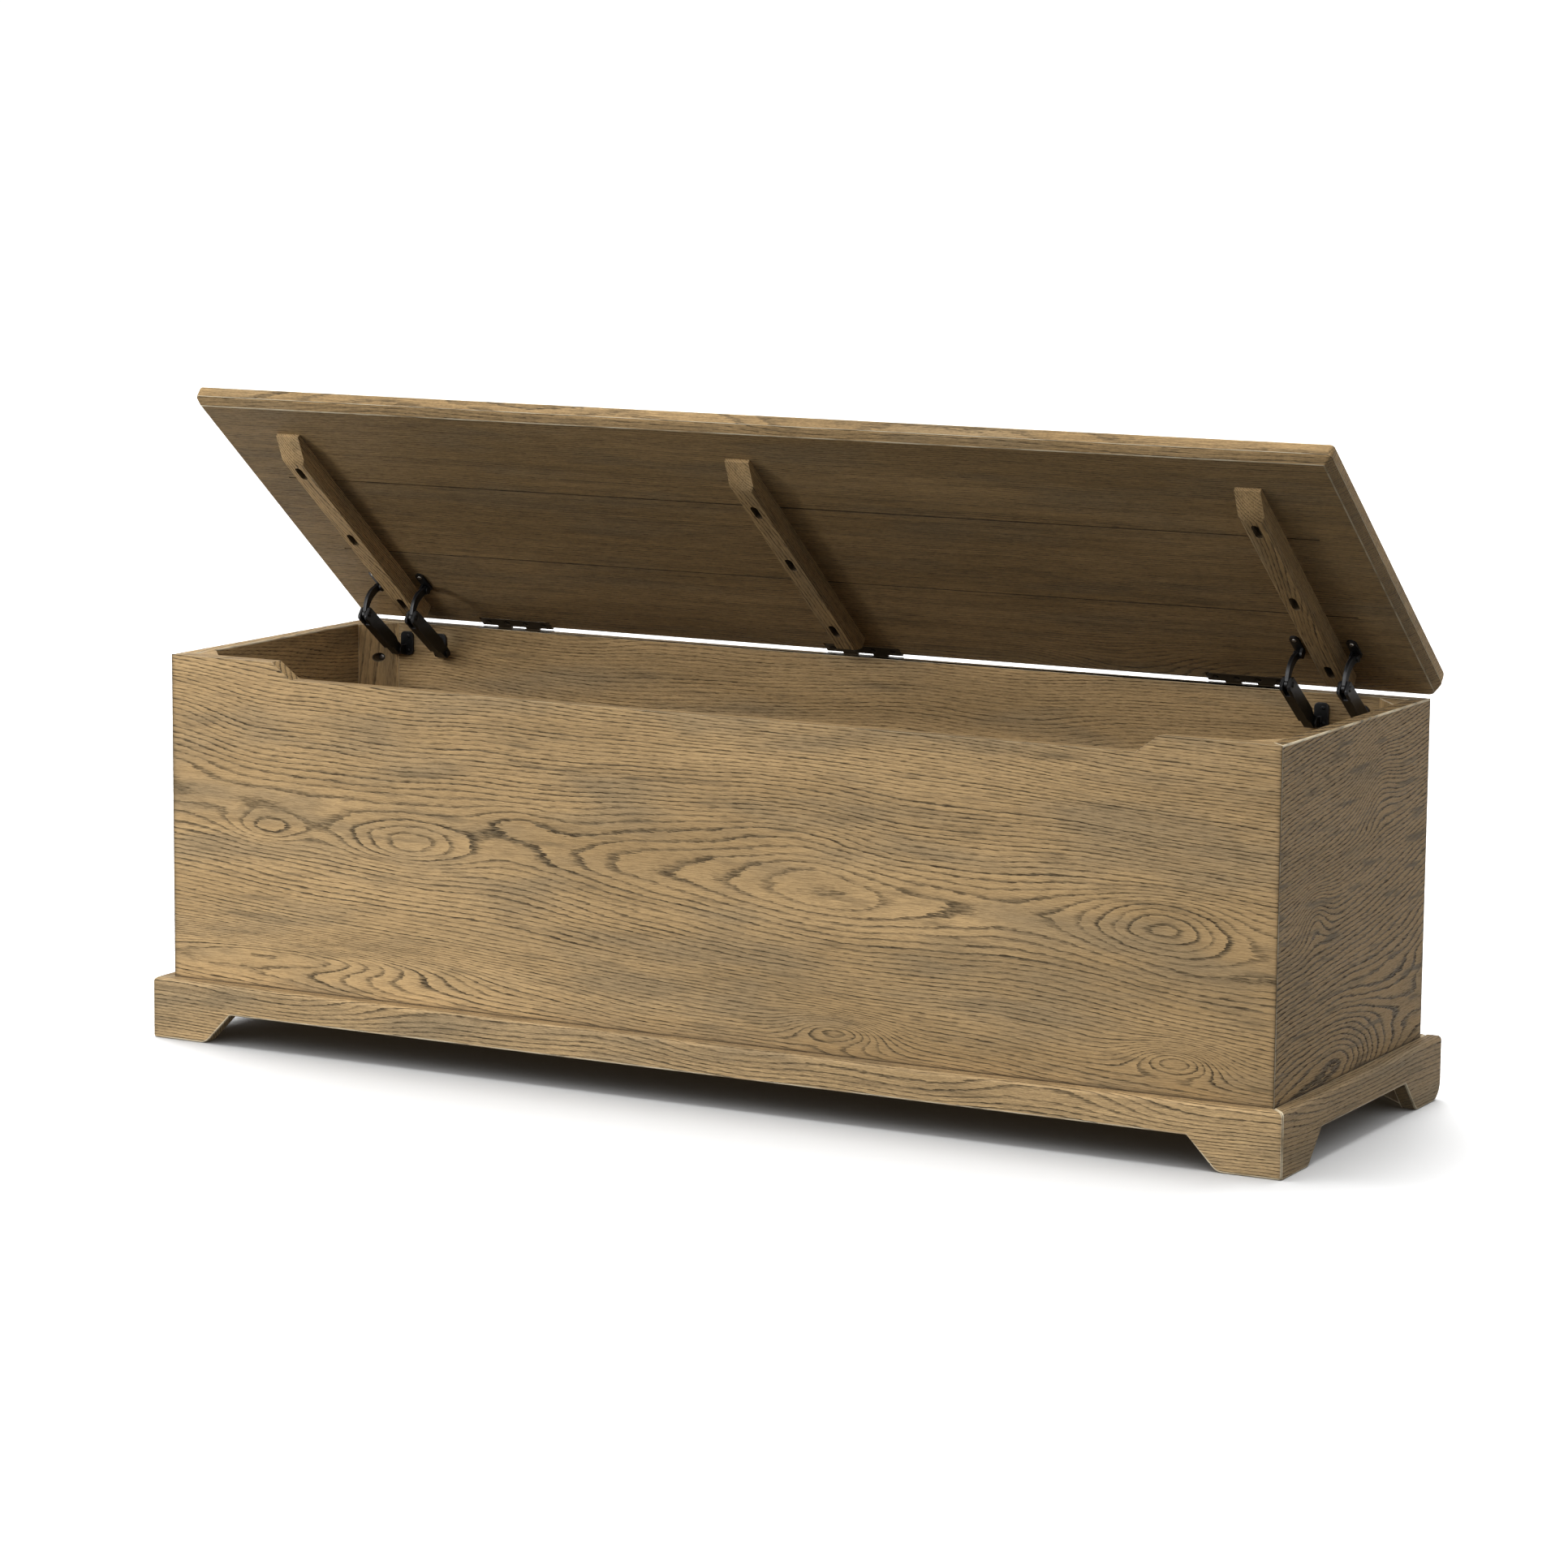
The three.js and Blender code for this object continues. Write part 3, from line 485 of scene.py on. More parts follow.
def finishes():
    """The metal finishes, made once."""
    paint = colours()
    if "antique_bronze" not in bpy.data.materials:
        metal("antique_bronze", paint.bronze, paint.bronze_worn_and_highlight, roughness=0.42, metallic=0.3,
              wear_and_highlight=1.0, mottle=0.5)
        metal("bronze_screw", paint.bronze_head, paint.bronze_worn_and_highlight, roughness=0.35, metallic=0.7,
              wear_and_highlight=0.6, mottle=0.4)
        metal("satin_black", paint.black, BLACK_WORN_AND_HIGHLIGHT, roughness=0.4, metallic=0.35,
              wear_and_highlight=0.5, mottle=0.4)
        metal("dull_zinc", paint.steel, ZINC_WORN, roughness=0.36, metallic=1.0,
              wear_and_highlight=0.5, mottle=0.4)
    return bpy.data.materials


# ---------- mesh work ----------

def solid_of(node):
    """A CAD node's solid, with its facets merged into whole flat faces."""
    shape = bmesh.new()
    shape.from_mesh(frame["nodes"][node].data)
    bmesh.ops.remove_doubles(shape, verts=shape.verts, dist=WELD)
    bmesh.ops.dissolve_limit(shape, angle_limit=FLAT, verts=shape.verts, edges=shape.edges)
    return shape


def ease(shape, width):
    """Rounds every arris, and marks the rounded faces so that a finish can paint them as worn and
    highlighted.
    """
    mark = shape.faces.layers.float.get("arris") or shape.faces.layers.float.new("arris")
    sharp = [edge for edge in shape.edges
             if len(edge.link_faces) == 2 and edge.calc_face_angle(0.0) > CREASE]
    made = bmesh.ops.bevel(shape, geom=sharp, offset=width, offset_type="OFFSET", segments=2,
                           profile=0.5, affect="EDGES", clamp_overlap=True)
    for face in made["faces"]:
        face[mark] = 1.0
    return shape


def paint_shade(shape, pockets, back=Matrix(), under=0.0):
    """Marks painted shade on the faces inside the pockets, which are pairs of corners in the frame that
    back leads to.

    Faces that look down in that frame get a share of the painted shade, from 0 to 1.
    """
    mark = shape.faces.layers.float.get("pocket") or shape.faces.layers.float.new("pocket")
    shape.normal_update()
    for face in shape.faces:
        middle = back @ face.calc_center_median()
        if (back.to_3x3() @ face.normal).z < -0.5:
            face[mark] = under
        for low, high in pockets:
            if all(low[axis] <= middle[axis] <= high[axis] for axis in range(3)):
                face[mark] = 1.0
    return shape


def extrude_outline(points, direction, depth):
    """A prism from the outline of one end and the way it runs."""
    shape = bmesh.new()
    start = shape.faces.new([shape.verts.new(point) for point in points])
    run = bmesh.ops.extrude_face_region(shape, geom=[start])
    moved = [part for part in run["geom"] if isinstance(part, bmesh.types.BMVert)]
    bmesh.ops.translate(shape, verts=moved, vec=direction * depth)
    bmesh.ops.recalc_face_normals(shape, faces=shape.faces)
    return shape


def ring_of(shape, radius, height, steps):
    """Points in a ring about the Z axis."""
    angles = [2 * pi * index / steps for index in range(steps)]
    return [shape.verts.new((radius * cos(a), radius * sin(a), height)) for a in angles]


def bands(shape, rows):
    """Faces between each closed row of points and the next."""
    made = []
    for low, high in zip(rows, rows[1:]):
        for index in range(len(low)):
            after = (index + 1) % len(low)
            made.append(shape.faces.new((low[index], low[after], high[after], high[index])))
    return made


def turned(profile, place, steps=32):
    """A lathe-turned solid: profile holds (radius, height) from the axis back to the axis."""
    shape = bmesh.new()
    rows = []
    for radius, height in profile:
        if radius == 0:
            rows.append([shape.verts.new((0, 0, height))])
        else:
            rows.append(ring_of(shape, radius, height, steps))
    for low, high in zip(rows, rows[1:]):
        for index in range(steps):
            after = (index + 1) % steps
            ring = [low[index % len(low)], low[after % len(low)],
                    high[after % len(high)], high[index % len(high)]]
            corners = list(dict.fromkeys(ring))
            if len(corners) > 2:
                shape.faces.new(corners)
    bmesh.ops.recalc_face_normals(shape, faces=shape.faces)
    shape.transform(place)
    return shape


def facing(point, normal, spin=0.0):
    """A place whose Z runs along the normal."""
    turn = Vector(normal).to_track_quat("Z", "Y").to_matrix().to_4x4()
    return Matrix.Translation(point) @ turn @ Matrix.Rotation(spin, 4, "Z")


def join(shapes):
    """One mesh from several shapes."""
    whole = bmesh.new()
    whole.faces.layers.float.new("arris")
    for shape in shapes:
        held = bpy.data.meshes.new("held")
        if shape.faces.layers.float.get("arris") is None:
            shape.faces.layers.float.new("arris")
        shape.to_mesh(held)
        whole.from_mesh(held)
        bpy.data.meshes.remove(held)
        shape.free()
    return whole


def new_object(shape, name):
    """An object in the scene, made from a shape."""
    mesh = bpy.data.meshes.new(name)
    shape.to_mesh(mesh)
    shape.free()
    made = bpy.data.objects.new(name, mesh)
    bpy.context.scene.collection.objects.link(made)
    return made


def carve(shape, cutters, operation="DIFFERENCE"):
    """The shape with the cutters taken out of it or joined to it."""
    bodies = [new_object(shape, "carved"), new_object(cutters, "cutters")]
    cut = bodies[0].modifiers.new("cut", "BOOLEAN")
    cut.operation = operation
    cut.solver = "EXACT"
    cut.use_self = True
    cut.object = bodies[1]
    graph = bpy.context.evaluated_depsgraph_get()
    carved = bmesh.new()
    carved.from_object(bodies[0], graph)
    for body in bodies:
        mesh = body.data
        bpy.data.objects.remove(body)
        bpy.data.meshes.remove(mesh)
    return carved


def put(shape, name, body, finish, stands_for=()):
    """Makes a finished piece from a shape, sets what it rides on, and hides the CAD parts it stands
    for.
    """
    piece = new_object(shape, name)
    piece.data.materials.append(finish)
    piece.data.shade_smooth()
    piece.data.set_sharp_from_angle(angle=SHARP)
    weights = piece.modifiers.new("flat faces stay flat", "WEIGHTED_NORMAL")
    weights.keep_sharp = True
    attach(piece, body)
    if stands_for:
        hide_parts(*stands_for)
    return piece


def driven_head(radius, height, place):
    """A domed screw head with a cross recess; its seat is at the place's origin."""
    shape = bmesh.new()
    steps = 24
    arm = 0.44 * radius  # length and half width of the recess's arms, and its depth
    half = 0.11 * radius
    sink = 0.55 * height
    narrowing = 0.8  # the recess's floor, against its mouth
    dome = [(1.0, 0.0), (1.0, 0.3), (0.9, 0.7), (0.62, 1.0)]  # shares of the radius and the height
    rows = [ring_of(shape, radius * wide, height * high, steps) for wide, high in dome]
    bands(shape, rows)
    shape.faces.new(rows[0])
    cross = [(arm, half), (half, half), (half, arm), (-half, arm), (-half, half), (-arm, half),
             (-arm, -half), (-half, -half), (-half, -arm), (half, -arm), (half, -half), (arm, -half)]
    mouth = [shape.verts.new((x, y, height)) for x, y in cross]
    floor = [shape.verts.new((narrowing * x, narrowing * y, height - sink)) for x, y in cross]
    bands(shape, [mouth, floor])
    shape.faces.new(floor)
    edges = [shape.edges.get((row[i], row[(i + 1) % len(row)]))
             for row in (rows[-1], mouth) for i in range(len(row))]
    bmesh.ops.triangle_fill(shape, edges=edges, use_beauty=True)
    bmesh.ops.recalc_face_normals(shape, faces=shape.faces)
    shape.transform(place)
    return shape


# ---------- boards ----------

def middle_of(node):
    low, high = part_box(node)
    return (low + high) / 2


def half_run(node, axis):
    low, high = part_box(node)
    return (high[axis] - low[axis]) / 2


PLINTH_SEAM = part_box("plinth_front")[1].z - middle_of("front_panel").z  # where the panels go down

FRONT_EYES = (
    (-0.384, 0.011, 0.08, 0.026, 3.6), (-0.578, 0.014, 0.05, 0.02, 2.6),
    (-0.229, 0.05, 0.06, 0.022, 2.0), (0.579, 0.007, 0.075, 0.034, 4.6),
    (0.19, -0.15, 0.06, 0.017, -8.0), (0.601, -0.138, 0.055, 0.018, -8.5),
    (-0.52, -0.135, 0.26, 0.021, -9.0),
)
SIDE_EYES = (
    (-0.115, 0.013, 0.04, 0.034, 4.0), (0.066, 0.14, 0.06, 0.05, 5.0),
    (-0.02, -0.16, 0.09, 0.03, 3.0),
)
BOARDS = {
    "front_panel": Board(
        RIGHT, UP, heart=0.014, depth=0.075, bow=0.06, seed=1.3, bend=0.05, bold=1.35,
        taper=-0.02, mitre=half_run("front_panel", 0), shaded_seams=(PLINTH_SEAM,), eyes=FRONT_EYES),
    "back_panel": Board(
        RIGHT, UP, heart=0.06, depth=0.06, bow=0.12, seed=4.1, tone=0.2, streak=1.7,
        eyes=((0.47, 0.1, 0.05, 0.03, 7.0),)),
    # the left panel's low tone is painted light: it lightens an inner face that stands in shade
    "left_panel": Board(
        BACK, UP, heart=0.1, depth=0.05, bow=0.06, seed=7.7, tone=-0.9, bend=0.1),
    # the right panel's high tone is partly the board's own and partly painted shade on the end turned
    # from the key lamp
    "right_panel": Board(
        BACK, UP, heart=-0.15, depth=0.06, bow=0.1, seed=9.2, tone=0.7, grey=-0.2, ring=1.35,
        bend=-0.16, bold=2.8, streak=1.4, mitre=half_run("right_panel", 1),
        shaded_seams=(PLINTH_SEAM,), eyes=SIDE_EYES),
    "bottom_board": Board(RIGHT, BACK, heart=0.05, depth=0.06, seed=11.0, tone=0.3),
    "plinth_front": Board(
        RIGHT, UP, heart=0.05, depth=0.05, seed=13.4, tone=-0.25, grey=0.2, ring=0.8,
        streak=2.1, bold=1.5, mitre=half_run("plinth_front", 0)),
    "plinth_back": Board(RIGHT, UP, heart=0.05, depth=0.05, seed=15.8, tone=0.2),
    "plinth_left": Board(BACK, UP, heart=0.04, depth=0.05, seed=17.9, tone=0.1, grey=0.15),
    "plinth_right": Board(
        BACK, UP, heart=0.06, depth=0.03, bow=0.08, seed=19.5, tone=0.5, grey=0.3, bold=1.4,
        streak=1.6),
    "lid_board": Board(
        RIGHT, lid_along, heart=0.3, depth=0.09, bow=0.14, seed=21.6, tone=0.4, grey=-0.1,
        bold=1.1, streak=2.8, eyes=((0.63, 0.02, 0.06, 0.03, 2.6),)),
}
BLOCK_BORE = Vector((0.006, 0, 0.006))  # half the mouth of a corner block's bore
BATTEN_SLOT = Vector((0.0055, 0.0126, 0))  # half the mouth of a batten's slot
LID_SHADE = 0.34  # painted shade on faces that look down
BATTEN_SHADE = 0.18
# the left batten's lighter tone is painted light falling from the lid's left end; the others are darker
BATTEN_TONES = {"left": -0.45, "middle": 0.4, "right": 0.4}
MIN_ROUND = 0.0008
EASED_ROWS = (0, 5, 8, 9)  # rows of the lid's moulding that get the worn colour and painted highlight


def corner_names(stem):
    return [f"{stem}_{along}_{across}" for along in ("front", "rear") for across in ("left", "right")]


def board_piece(node, body, name, board):
    shape = ease(solid_of(node), sizes().arris)
    return put(shape, name, body, oak(name, board, middle_of(node)), [node])


def make_box_boards():
    for node in ("front_panel", "back_panel", "left_panel", "right_panel", "bottom_board"):
        board_piece(node, "box", f"{node}_oak", BOARDS[node])


def make_corner_blocks():
    for number, place in enumerate(corner_names("corner_block")):
        # the low tone is painted light: it lightens the blocks
        board = Board(UP, RIGHT, heart=0.12, depth=0.05, seed=31 + 2.7 * number, ring=0.7, tone=-0.7,
                      bold=0.7)
        low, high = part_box(place)
        screw = middle_of(place.replace("block", "block_screw"))
        screw.y = 0
        # painted shade in each block's screw bore
        inside = [(screw - BLOCK_BORE + BACK * (low.y + INWARD),
                   screw + BLOCK_BORE + BACK * (high.y - INWARD))]
        shape = paint_shade(ease(solid_of(place), sizes().arris), inside)
        finish = oak(f"{place}_oak", board, middle_of(place))
        put(shape, f"{place}_oak", "box", finish, [place])


def make_plinth():
    for node in ("plinth_front", "plinth_back", "plinth_left", "plinth_right"):
        board_piece(node, "box", f"{node}_oak", BOARDS[node])
    for number, node in enumerate(corner_names("foot_block")):
        board = Board(UP, RIGHT, heart=0.04, depth=0.05, seed=51 + 3.1 * number, tone=0.3)
        board_piece(node, "box", f"{node}_oak", board)


# ---------- lid ----------

def lid_box(node):
    """Lowest and highest corner of a node in the lid's own frame."""
    back = lid_place.inverted()
    points = [back @ vert.co for vert in frame["nodes"][node].data.vertices]
    return [Vector(pick(point[axis] for point in points) for axis in range(3)) for pick in (min, max)]


def lid_outline(low, high, inset, rear_inset):
    """The lid's outline in plan, moved in from its front and ends by one inset."""
    size = sizes()
    steps = 8
    left, right = low.x + inset, high.x - inset
    front, rear = low.y + inset, high.y - rear_inset
    front_round = max(size.lid_front_corner - inset, MIN_ROUND)
    rear_round = max(size.lid_rear_corner - inset, MIN_ROUND)
    corners = [(right, front, -1, front_round, -0.5), (right, rear, 1, rear_round, 0.0),
               (left, rear, 1, rear_round, 0.5), (left, front, -1, front_round, 1.0)]
    points = []
    for x, y, way, radius, start in corners:
        centre = (x - radius if x > 0 else x + radius, y - way * radius)
        for index in range(steps + 1):
            angle = pi * (start + 0.5 * index / steps)
            points.append((centre[0] + radius * cos(angle), centre[1] + radius * sin(angle)))
    return points


def lid_section(low, high):
    """The lid's moulded edge, from its underside to its top: (inset, rear inset, height)."""
    size = sizes()
    top = high.z
    round_top = size.lid_top_ease
    band_low = top - round_top - size.lid_band
    quirk = size.lid_quirk
    soft = 0.0012  # easing of the bevel's lower edge
    rows = [(size.lid_bevel + soft, soft, low.z),
            (size.lid_bevel - 0.4 * soft, 0.3 * soft, low.z + 0.35 * soft),
            (quirk + 0.6 * soft, 0, band_low - 1.6 * quirk),
            (quirk, 0, band_low - quirk),
            (quirk, 0, band_low - 0.3 * quirk),
            (0.3 * quirk, 0, band_low),
            (0, 0, band_low + 0.5 * quirk)]
    for index in range(5):
        angle = 0.5 * pi * index / 4
        inset = round_top * (1 - cos(angle))
        rows.append((inset, inset, top - round_top + round_top * sin(angle)))
    return rows


def lid_shell(low, high):
    """The lid board lofted through its edge moulding."""
    shape = bmesh.new()
    mark = shape.faces.layers.float.new("arris")
    rows = []
    for inset, rear_inset, height in lid_section(low, high):
        outline = lid_outline(low, high, inset, rear_inset)
        rows.append([shape.verts.new((x, y, height)) for x, y in outline])
    for number, pair in enumerate(zip(rows, rows[1:])):
        for face in bands(shape, pair):
            face[mark] = float(number in EASED_ROWS)
    shape.faces.new(reversed(rows[0]))
    shape.faces.new(rows[-1])
    bmesh.ops.recalc_face_normals(shape, faces=shape.faces)
    return shape


def box_shape(low, high):
    """A block, from its lowest and highest corners."""
    corners = [(low[0], low[1], low[2]), (high[0], low[1], low[2]),
               (high[0], high[1], low[2]), (low[0], high[1], low[2])]
    return extrude_outline(corners, UP, high[2] - low[2])


def lid_kerfs(low, high):
    """Two stopped kerfs that mark the lid's thirds, as pairs of corners."""
    half_width = 0.0011
    deep = 0.0026
    stop = 0.057  # from the lid's ends
    past = 0.01  # how far a cutter stands out of the wood
    kerfs = []
    for share in (1 / 3, 2 / 3):
        y = high.y - (high.y - low.y) * share
        kerfs.append((Vector((low.x + stop, y - half_width, low.z - past)),
                      Vector((high.x - stop, y + half_width, low.z + deep))))
    return kerfs


def lid_mortises(low, high):
    """Mortises for the hinges' lid leaves, as pairs of corners."""
    spare = 0.0003
    past = 0.01
    mortises = []
    for side in ("left", "middle", "right"):
        leaf_low, leaf_high = lid_box(f"hinge_{side}_lid_leaf")
        mortises.append((Vector((leaf_low.x - spare, leaf_low.y - spare, low.z - past)),
                         Vector((leaf_high.x + spare, high.y + past, leaf_high.z + spare))))
    return mortises


def make_lid():
    low, high = lid_box("lid_board")
    kerfs = lid_kerfs(low, high)
    cutters = join([box_shape(*corners) for corners in kerfs + lid_mortises(low, high)])
    shape = carve(lid_shell(low, high), cutters)
    edge = Vector((INWARD, INWARD, INWARD))
    # painted shade in the kerfs and on the lid's faces that look down
    paint_shade(shape, [(start - edge, end + edge) for start, end in kerfs], under=LID_SHADE)
    shape.transform(lid_place)
    board = oak("lid_board_oak", BOARDS["lid_board"], middle_of("lid_board"))
    put(shape, "lid_board_oak", "lid", board, ["lid_board"])


def make_battens():
    for number, (side, tone) in enumerate(BATTEN_TONES.items()):
        node = f"lid_batten_{side}"
        board = Board(lid_along, RIGHT, heart=0.03, depth=0.04, seed=61 + 4.3 * number, ring=0.6,
                      tone=tone, bold=1.3, streak=1.6)
        under = lid_box(node)[0].z
        # painted shade in the screw slots and on the faces that look down
        slots = []
        for count in (1, 2, 3):
            low, high = lid_box(f"batten_screw_{side}_{count}")
            middle = (low + high) / 2
            slots.append((middle - BATTEN_SLOT + UP * (under + INWARD - middle.z),
                          middle + BATTEN_SLOT))
        shape = paint_shade(ease(solid_of(node), sizes().arris), slots, lid_place.inverted(),
                      BATTEN_SHADE)
        finish = oak(f"{node}_oak", board, middle_of(node))
        put(shape, f"{node}_oak", "lid", finish, [node])


# ---------- screws ----------

HEAD_RISE = 0.6  # a wood screw's head, in radii


def wood_screw(node, body, radius, seat, normal, spin):
    head = driven_head(radius, HEAD_RISE * radius, facing(seat, normal, spin))
    put(head, f"{node}_zinc", body, finishes()["dull_zinc"], [node])


def make_screws():
    """Domed heads in the battens' slots and in the corner blocks' bores."""
    for side in ("left", "middle", "right"):
        for number in (1, 2, 3):
            node = f"batten_screw_{side}_{number}"
            low, high = lid_box(node)
            radius = (high.x - low.x) / 2
            middle = (low + high) / 2
            seat = lid_place @ Vector((middle.x, middle.y, low.z + HEAD_RISE * radius))
            wood_screw(node, "lid", radius, seat, -lid_up, 0.3 * number)
    for node in corner_names("corner_block_screw"):
        low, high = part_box(node)
        way = -1 if low.y > 0 else 1
        radius = (high.x - low.x) / 2
        seat = middle_of(node)
        seat.y = (low.y if way < 0 else high.y) - way * HEAD_RISE * radius
        wood_screw(node, "box", radius, seat, BACK * way, 0.5)


# ---------- hinges and stays ----------

KNUCKLE = 0.0034  # radius of a hinge's knuckles
LEAF_THICKNESS = 0.002
LEAF_SCREWS = (0.11, 0.37, 0.63, 0.89)  # places of a leaf's screws, as shares of its length
LEAF_SINK = 0.0013  # depth of a countersink
LEAF_CLEAR = 0.0006  # room round a screw's head
FOOT_PLATE = 0.003  # thickness of a stay's foot plate
FOOT_SCREWS = (0.2, 0.8)  # places of its screws, as shares of its height
FOOT_SCREW_INSET = 0.0065
EYE_PLATE = 0.0025  # thickness of a stay's eye plate
EYE_SCREW_INSET = 0.006
CHEEK = 0.0009  # thickness of a housing's cheek plates
RIVET = ((0, 0), (0.0034, 0), (0.0034, 0.0005), (0.0026, 0.0011), (0.0012, 0.0014), (0, 0.0015))
PIVOT_STEPS = 24  # sides of a rivet or a bore
ARM_BOW = 0.016  # how far a stay arm's bend is drawn aside
ARM_HALF = 0.0036  # half width of an arm at its pivots, and how much more at its broadest
ARM_SWELL = 0.0017
ARM_BROADEST = 1.4  # above 1, the broadest place is nearer the eye
BOSS = 0.0052  # radius of an arm's round ends
BOSS_CHAMFER = 0.0008
BORE = 0.0024  # radius of the bores in them
FOOT_ARRIS = 0.0009
EYE_ARRIS = 0.0008
STAY_ARRIS = 0.0011
CHEEK_ARRIS = 0.0003


def fitting_piece(node, body, finish, arris):
    """A metal fitting with its arrises eased."""
    shape = ease(solid_of(node), arris)
    return put(shape, f"{node}_finished", body, finishes()[finish], [node])


def make_leaf(node, body, low, high, middle_y, face_z, way, place):
    """A hinge leaf with four countersunk screws; its numbers are in the frame that place leads from."""
    size = sizes()
    narrow = 0.8 * size.screw_head
    wide = size.screw_head + LEAF_CLEAR
    cone = [(0, -LEAF_SINK), (narrow, -LEAF_SINK), (wide, 0), (wide, LEAF_CLEAR), (0, LEAF_CLEAR)]
    heads = []
    cutters = []
    for share in LEAF_SCREWS:
        point = Vector((low.x + share * (high.x - low.x), middle_y, face_z))
        cutters.append(turned(cone, place @ facing(point, UP * way)))
        seat = facing(point - UP * way * 0.9 * LEAF_SINK, UP * way, 9 * share)
        heads.append(driven_head(size.screw_head, 0.85 * LEAF_SINK, place @ seat))
    leaf = carve(ease(solid_of(node), size.leaf_arris), join(cutters))
    put(leaf, f"{node}_finished", body, finishes()["antique_bronze"], [node])
    put(join(heads), f"{node}_screws", body, finishes()["bronze_screw"])


def make_hinges():
    for side in ("left", "middle", "right"):
        node = f"hinge_{side}_box_leaf"
        low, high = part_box(node)
        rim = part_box("front_panel")[1].z
        make_leaf(node, "box", low, high, (low.y + hinge_axis.y - KNUCKLE) / 2, rim, 1, Matrix())
        node = f"hinge_{side}_lid_leaf"
        low, high = lid_box(node)
        under = high.z - LEAF_THICKNESS
        make_leaf(node, "lid", low, high, (low.y - KNUCKLE) / 2, under, -1, lid_place)
        fitting_piece(f"hinge_{side}_pin", "box", "antique_bronze", sizes().metal_arris)


def stay_cheek(x, foot, elbow, way):
    """A thin pressed plate that caps one side of a housing's forked end."""
    line = (elbow - foot).normalized()
    across = RIGHT.cross(line)
    back = -0.0115
    nose = 0.0046
    half = 0.0082
    clip = 0.0028
    outline = [(back, -half), (nose - clip, -half), (nose, clip - half), (nose, half - clip),
               (nose - clip, half), (back, half)]
    points = [RIGHT * x + elbow + line * a + across * b for a, b in outline]
    return ease(extrude_outline(points, RIGHT * way, CHEEK), CHEEK_ARRIS)


def stay_arm(stay, foot, elbow):
    """A bowed arm, broad in its upper half, with a boss and a bore at each pivot."""
    low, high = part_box(f"{stay}_arm")
    thick = high.x - low.x
    span = Vector((0, hinge_axis.y, hinge_axis.z)) - foot
    eye = elbow + span
    across = RIGHT.cross(span).normalized()
    bow = (elbow + eye) / 2 + across * ARM_BOW
    steps = 16
    edges = ([], [])
    for index in range(steps + 1):
        t = index / steps
        point = elbow * (1 - t) ** 2 + bow * 2 * t * (1 - t) + eye * t ** 2
        tangent = ((bow - elbow) * (1 - t) + (eye - bow) * t).normalized()
        half = ARM_HALF + ARM_SWELL * sin(pi * t ** ARM_BROADEST)
        for edge, way in zip(edges, (1, -1)):
            edge.append(RIGHT * low.x + point + RIGHT.cross(tangent) * way * half)
    strap = ease(extrude_outline(edges[0] + edges[1][::-1], RIGHT, thick), STAY_ARRIS)
    face = BOSS - BOSS_CHAMFER
    boss = [(0, 0), (face, 0), (BOSS, BOSS_CHAMFER), (BOSS, thick - BOSS_CHAMFER),
            (face, thick), (0, thick)]
    past = 0.001  # how far the bore's cutter stands out
    hole = [(0, -past), (BORE, -past), (BORE, thick + past), (0, thick + past)]
    places = [facing(RIGHT * low.x + pivot, RIGHT) for pivot in (elbow, eye)]
    whole = carve(strap, join([turned(boss, place) for place in places]), "UNION")
    return carve(whole, join([turned(hole, place, PIVOT_STEPS) for place in places]))


def make_stay(stay):
    size = sizes()
    foot = pivot_of(f"{stay}_housing_pivot")
    elbow = pivot_of(f"{stay}_elbow")
    black = finishes()["satin_black"]
    fitting_piece(f"{stay}_foot", "box", "satin_black", FOOT_ARRIS)
    fitting_piece(f"{stay}_housing", f"{stay}_housing", "satin_black", STAY_ARRIS)
    put(stay_arm(stay, foot, elbow), f"{stay}_arm_finished", f"{stay}_arm", black,
        [f"{stay}_arm"])
    fitting_piece(f"{stay}_eye", "lid", "satin_black", EYE_ARRIS)

    # cheeks and rivets on the forked end of the housing
    low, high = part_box(f"{stay}_housing")
    plates = [stay_cheek(low.x, foot, elbow, -1), stay_cheek(high.x, foot, elbow, 1)]
    for x, way in ((low.x - CHEEK, -1), (high.x + CHEEK, 1)):
        plates.append(turned(RIVET, facing(RIGHT * x + elbow, RIGHT * way), PIVOT_STEPS))
    put(join(plates), f"{stay}_cheeks", f"{stay}_housing", black)

    # two screws in the foot plate and one in the eye plate
    foot_low, foot_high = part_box(f"{stay}_foot")
    hand = 1 if foot_low.x + foot_high.x > low.x + high.x else -1
    edge = foot_high.x if hand > 0 else foot_low.x
    face = foot_high.y - FOOT_PLATE
    screws = []
    for share in FOOT_SCREWS:
        z = foot_low.z + share * (foot_high.z - foot_low.z)
        point = Vector((edge - hand * FOOT_SCREW_INSET, face, z))
        screws.append(driven_head(size.small_head, 0.0011, facing(point, -BACK, 4 * share)))
    put(join(screws), f"{stay}_foot_screws", "box", black)
    eye_low, eye_high = lid_box(f"{stay}_eye")
    arm_low, arm_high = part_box(f"{stay}_arm")
    point = Vector(((arm_low.x + arm_high.x) / 2, eye_low.y + EYE_SCREW_INSET,
                    eye_high.z - EYE_PLATE))
    head = driven_head(size.small_head, 0.0012, lid_place @ facing(point, -UP, 0.4))
    put(head, f"{stay}_eye_screw", "lid", finishes()["dull_zinc"])


def pivot_of(name):
    """The middle of a pivot: its joint's place, on the bench's middle plane."""
    place = Vector(next(joint["pos_m"] for joint in frame["joints"] if joint["name"] == name))
    place.x = 0
    return place


def make_stays():
    for side in ("left", "right"):
        for place in ("outer", "inner"):
            make_stay(f"stay_{side}_{place}")


# ---------- stage ----------

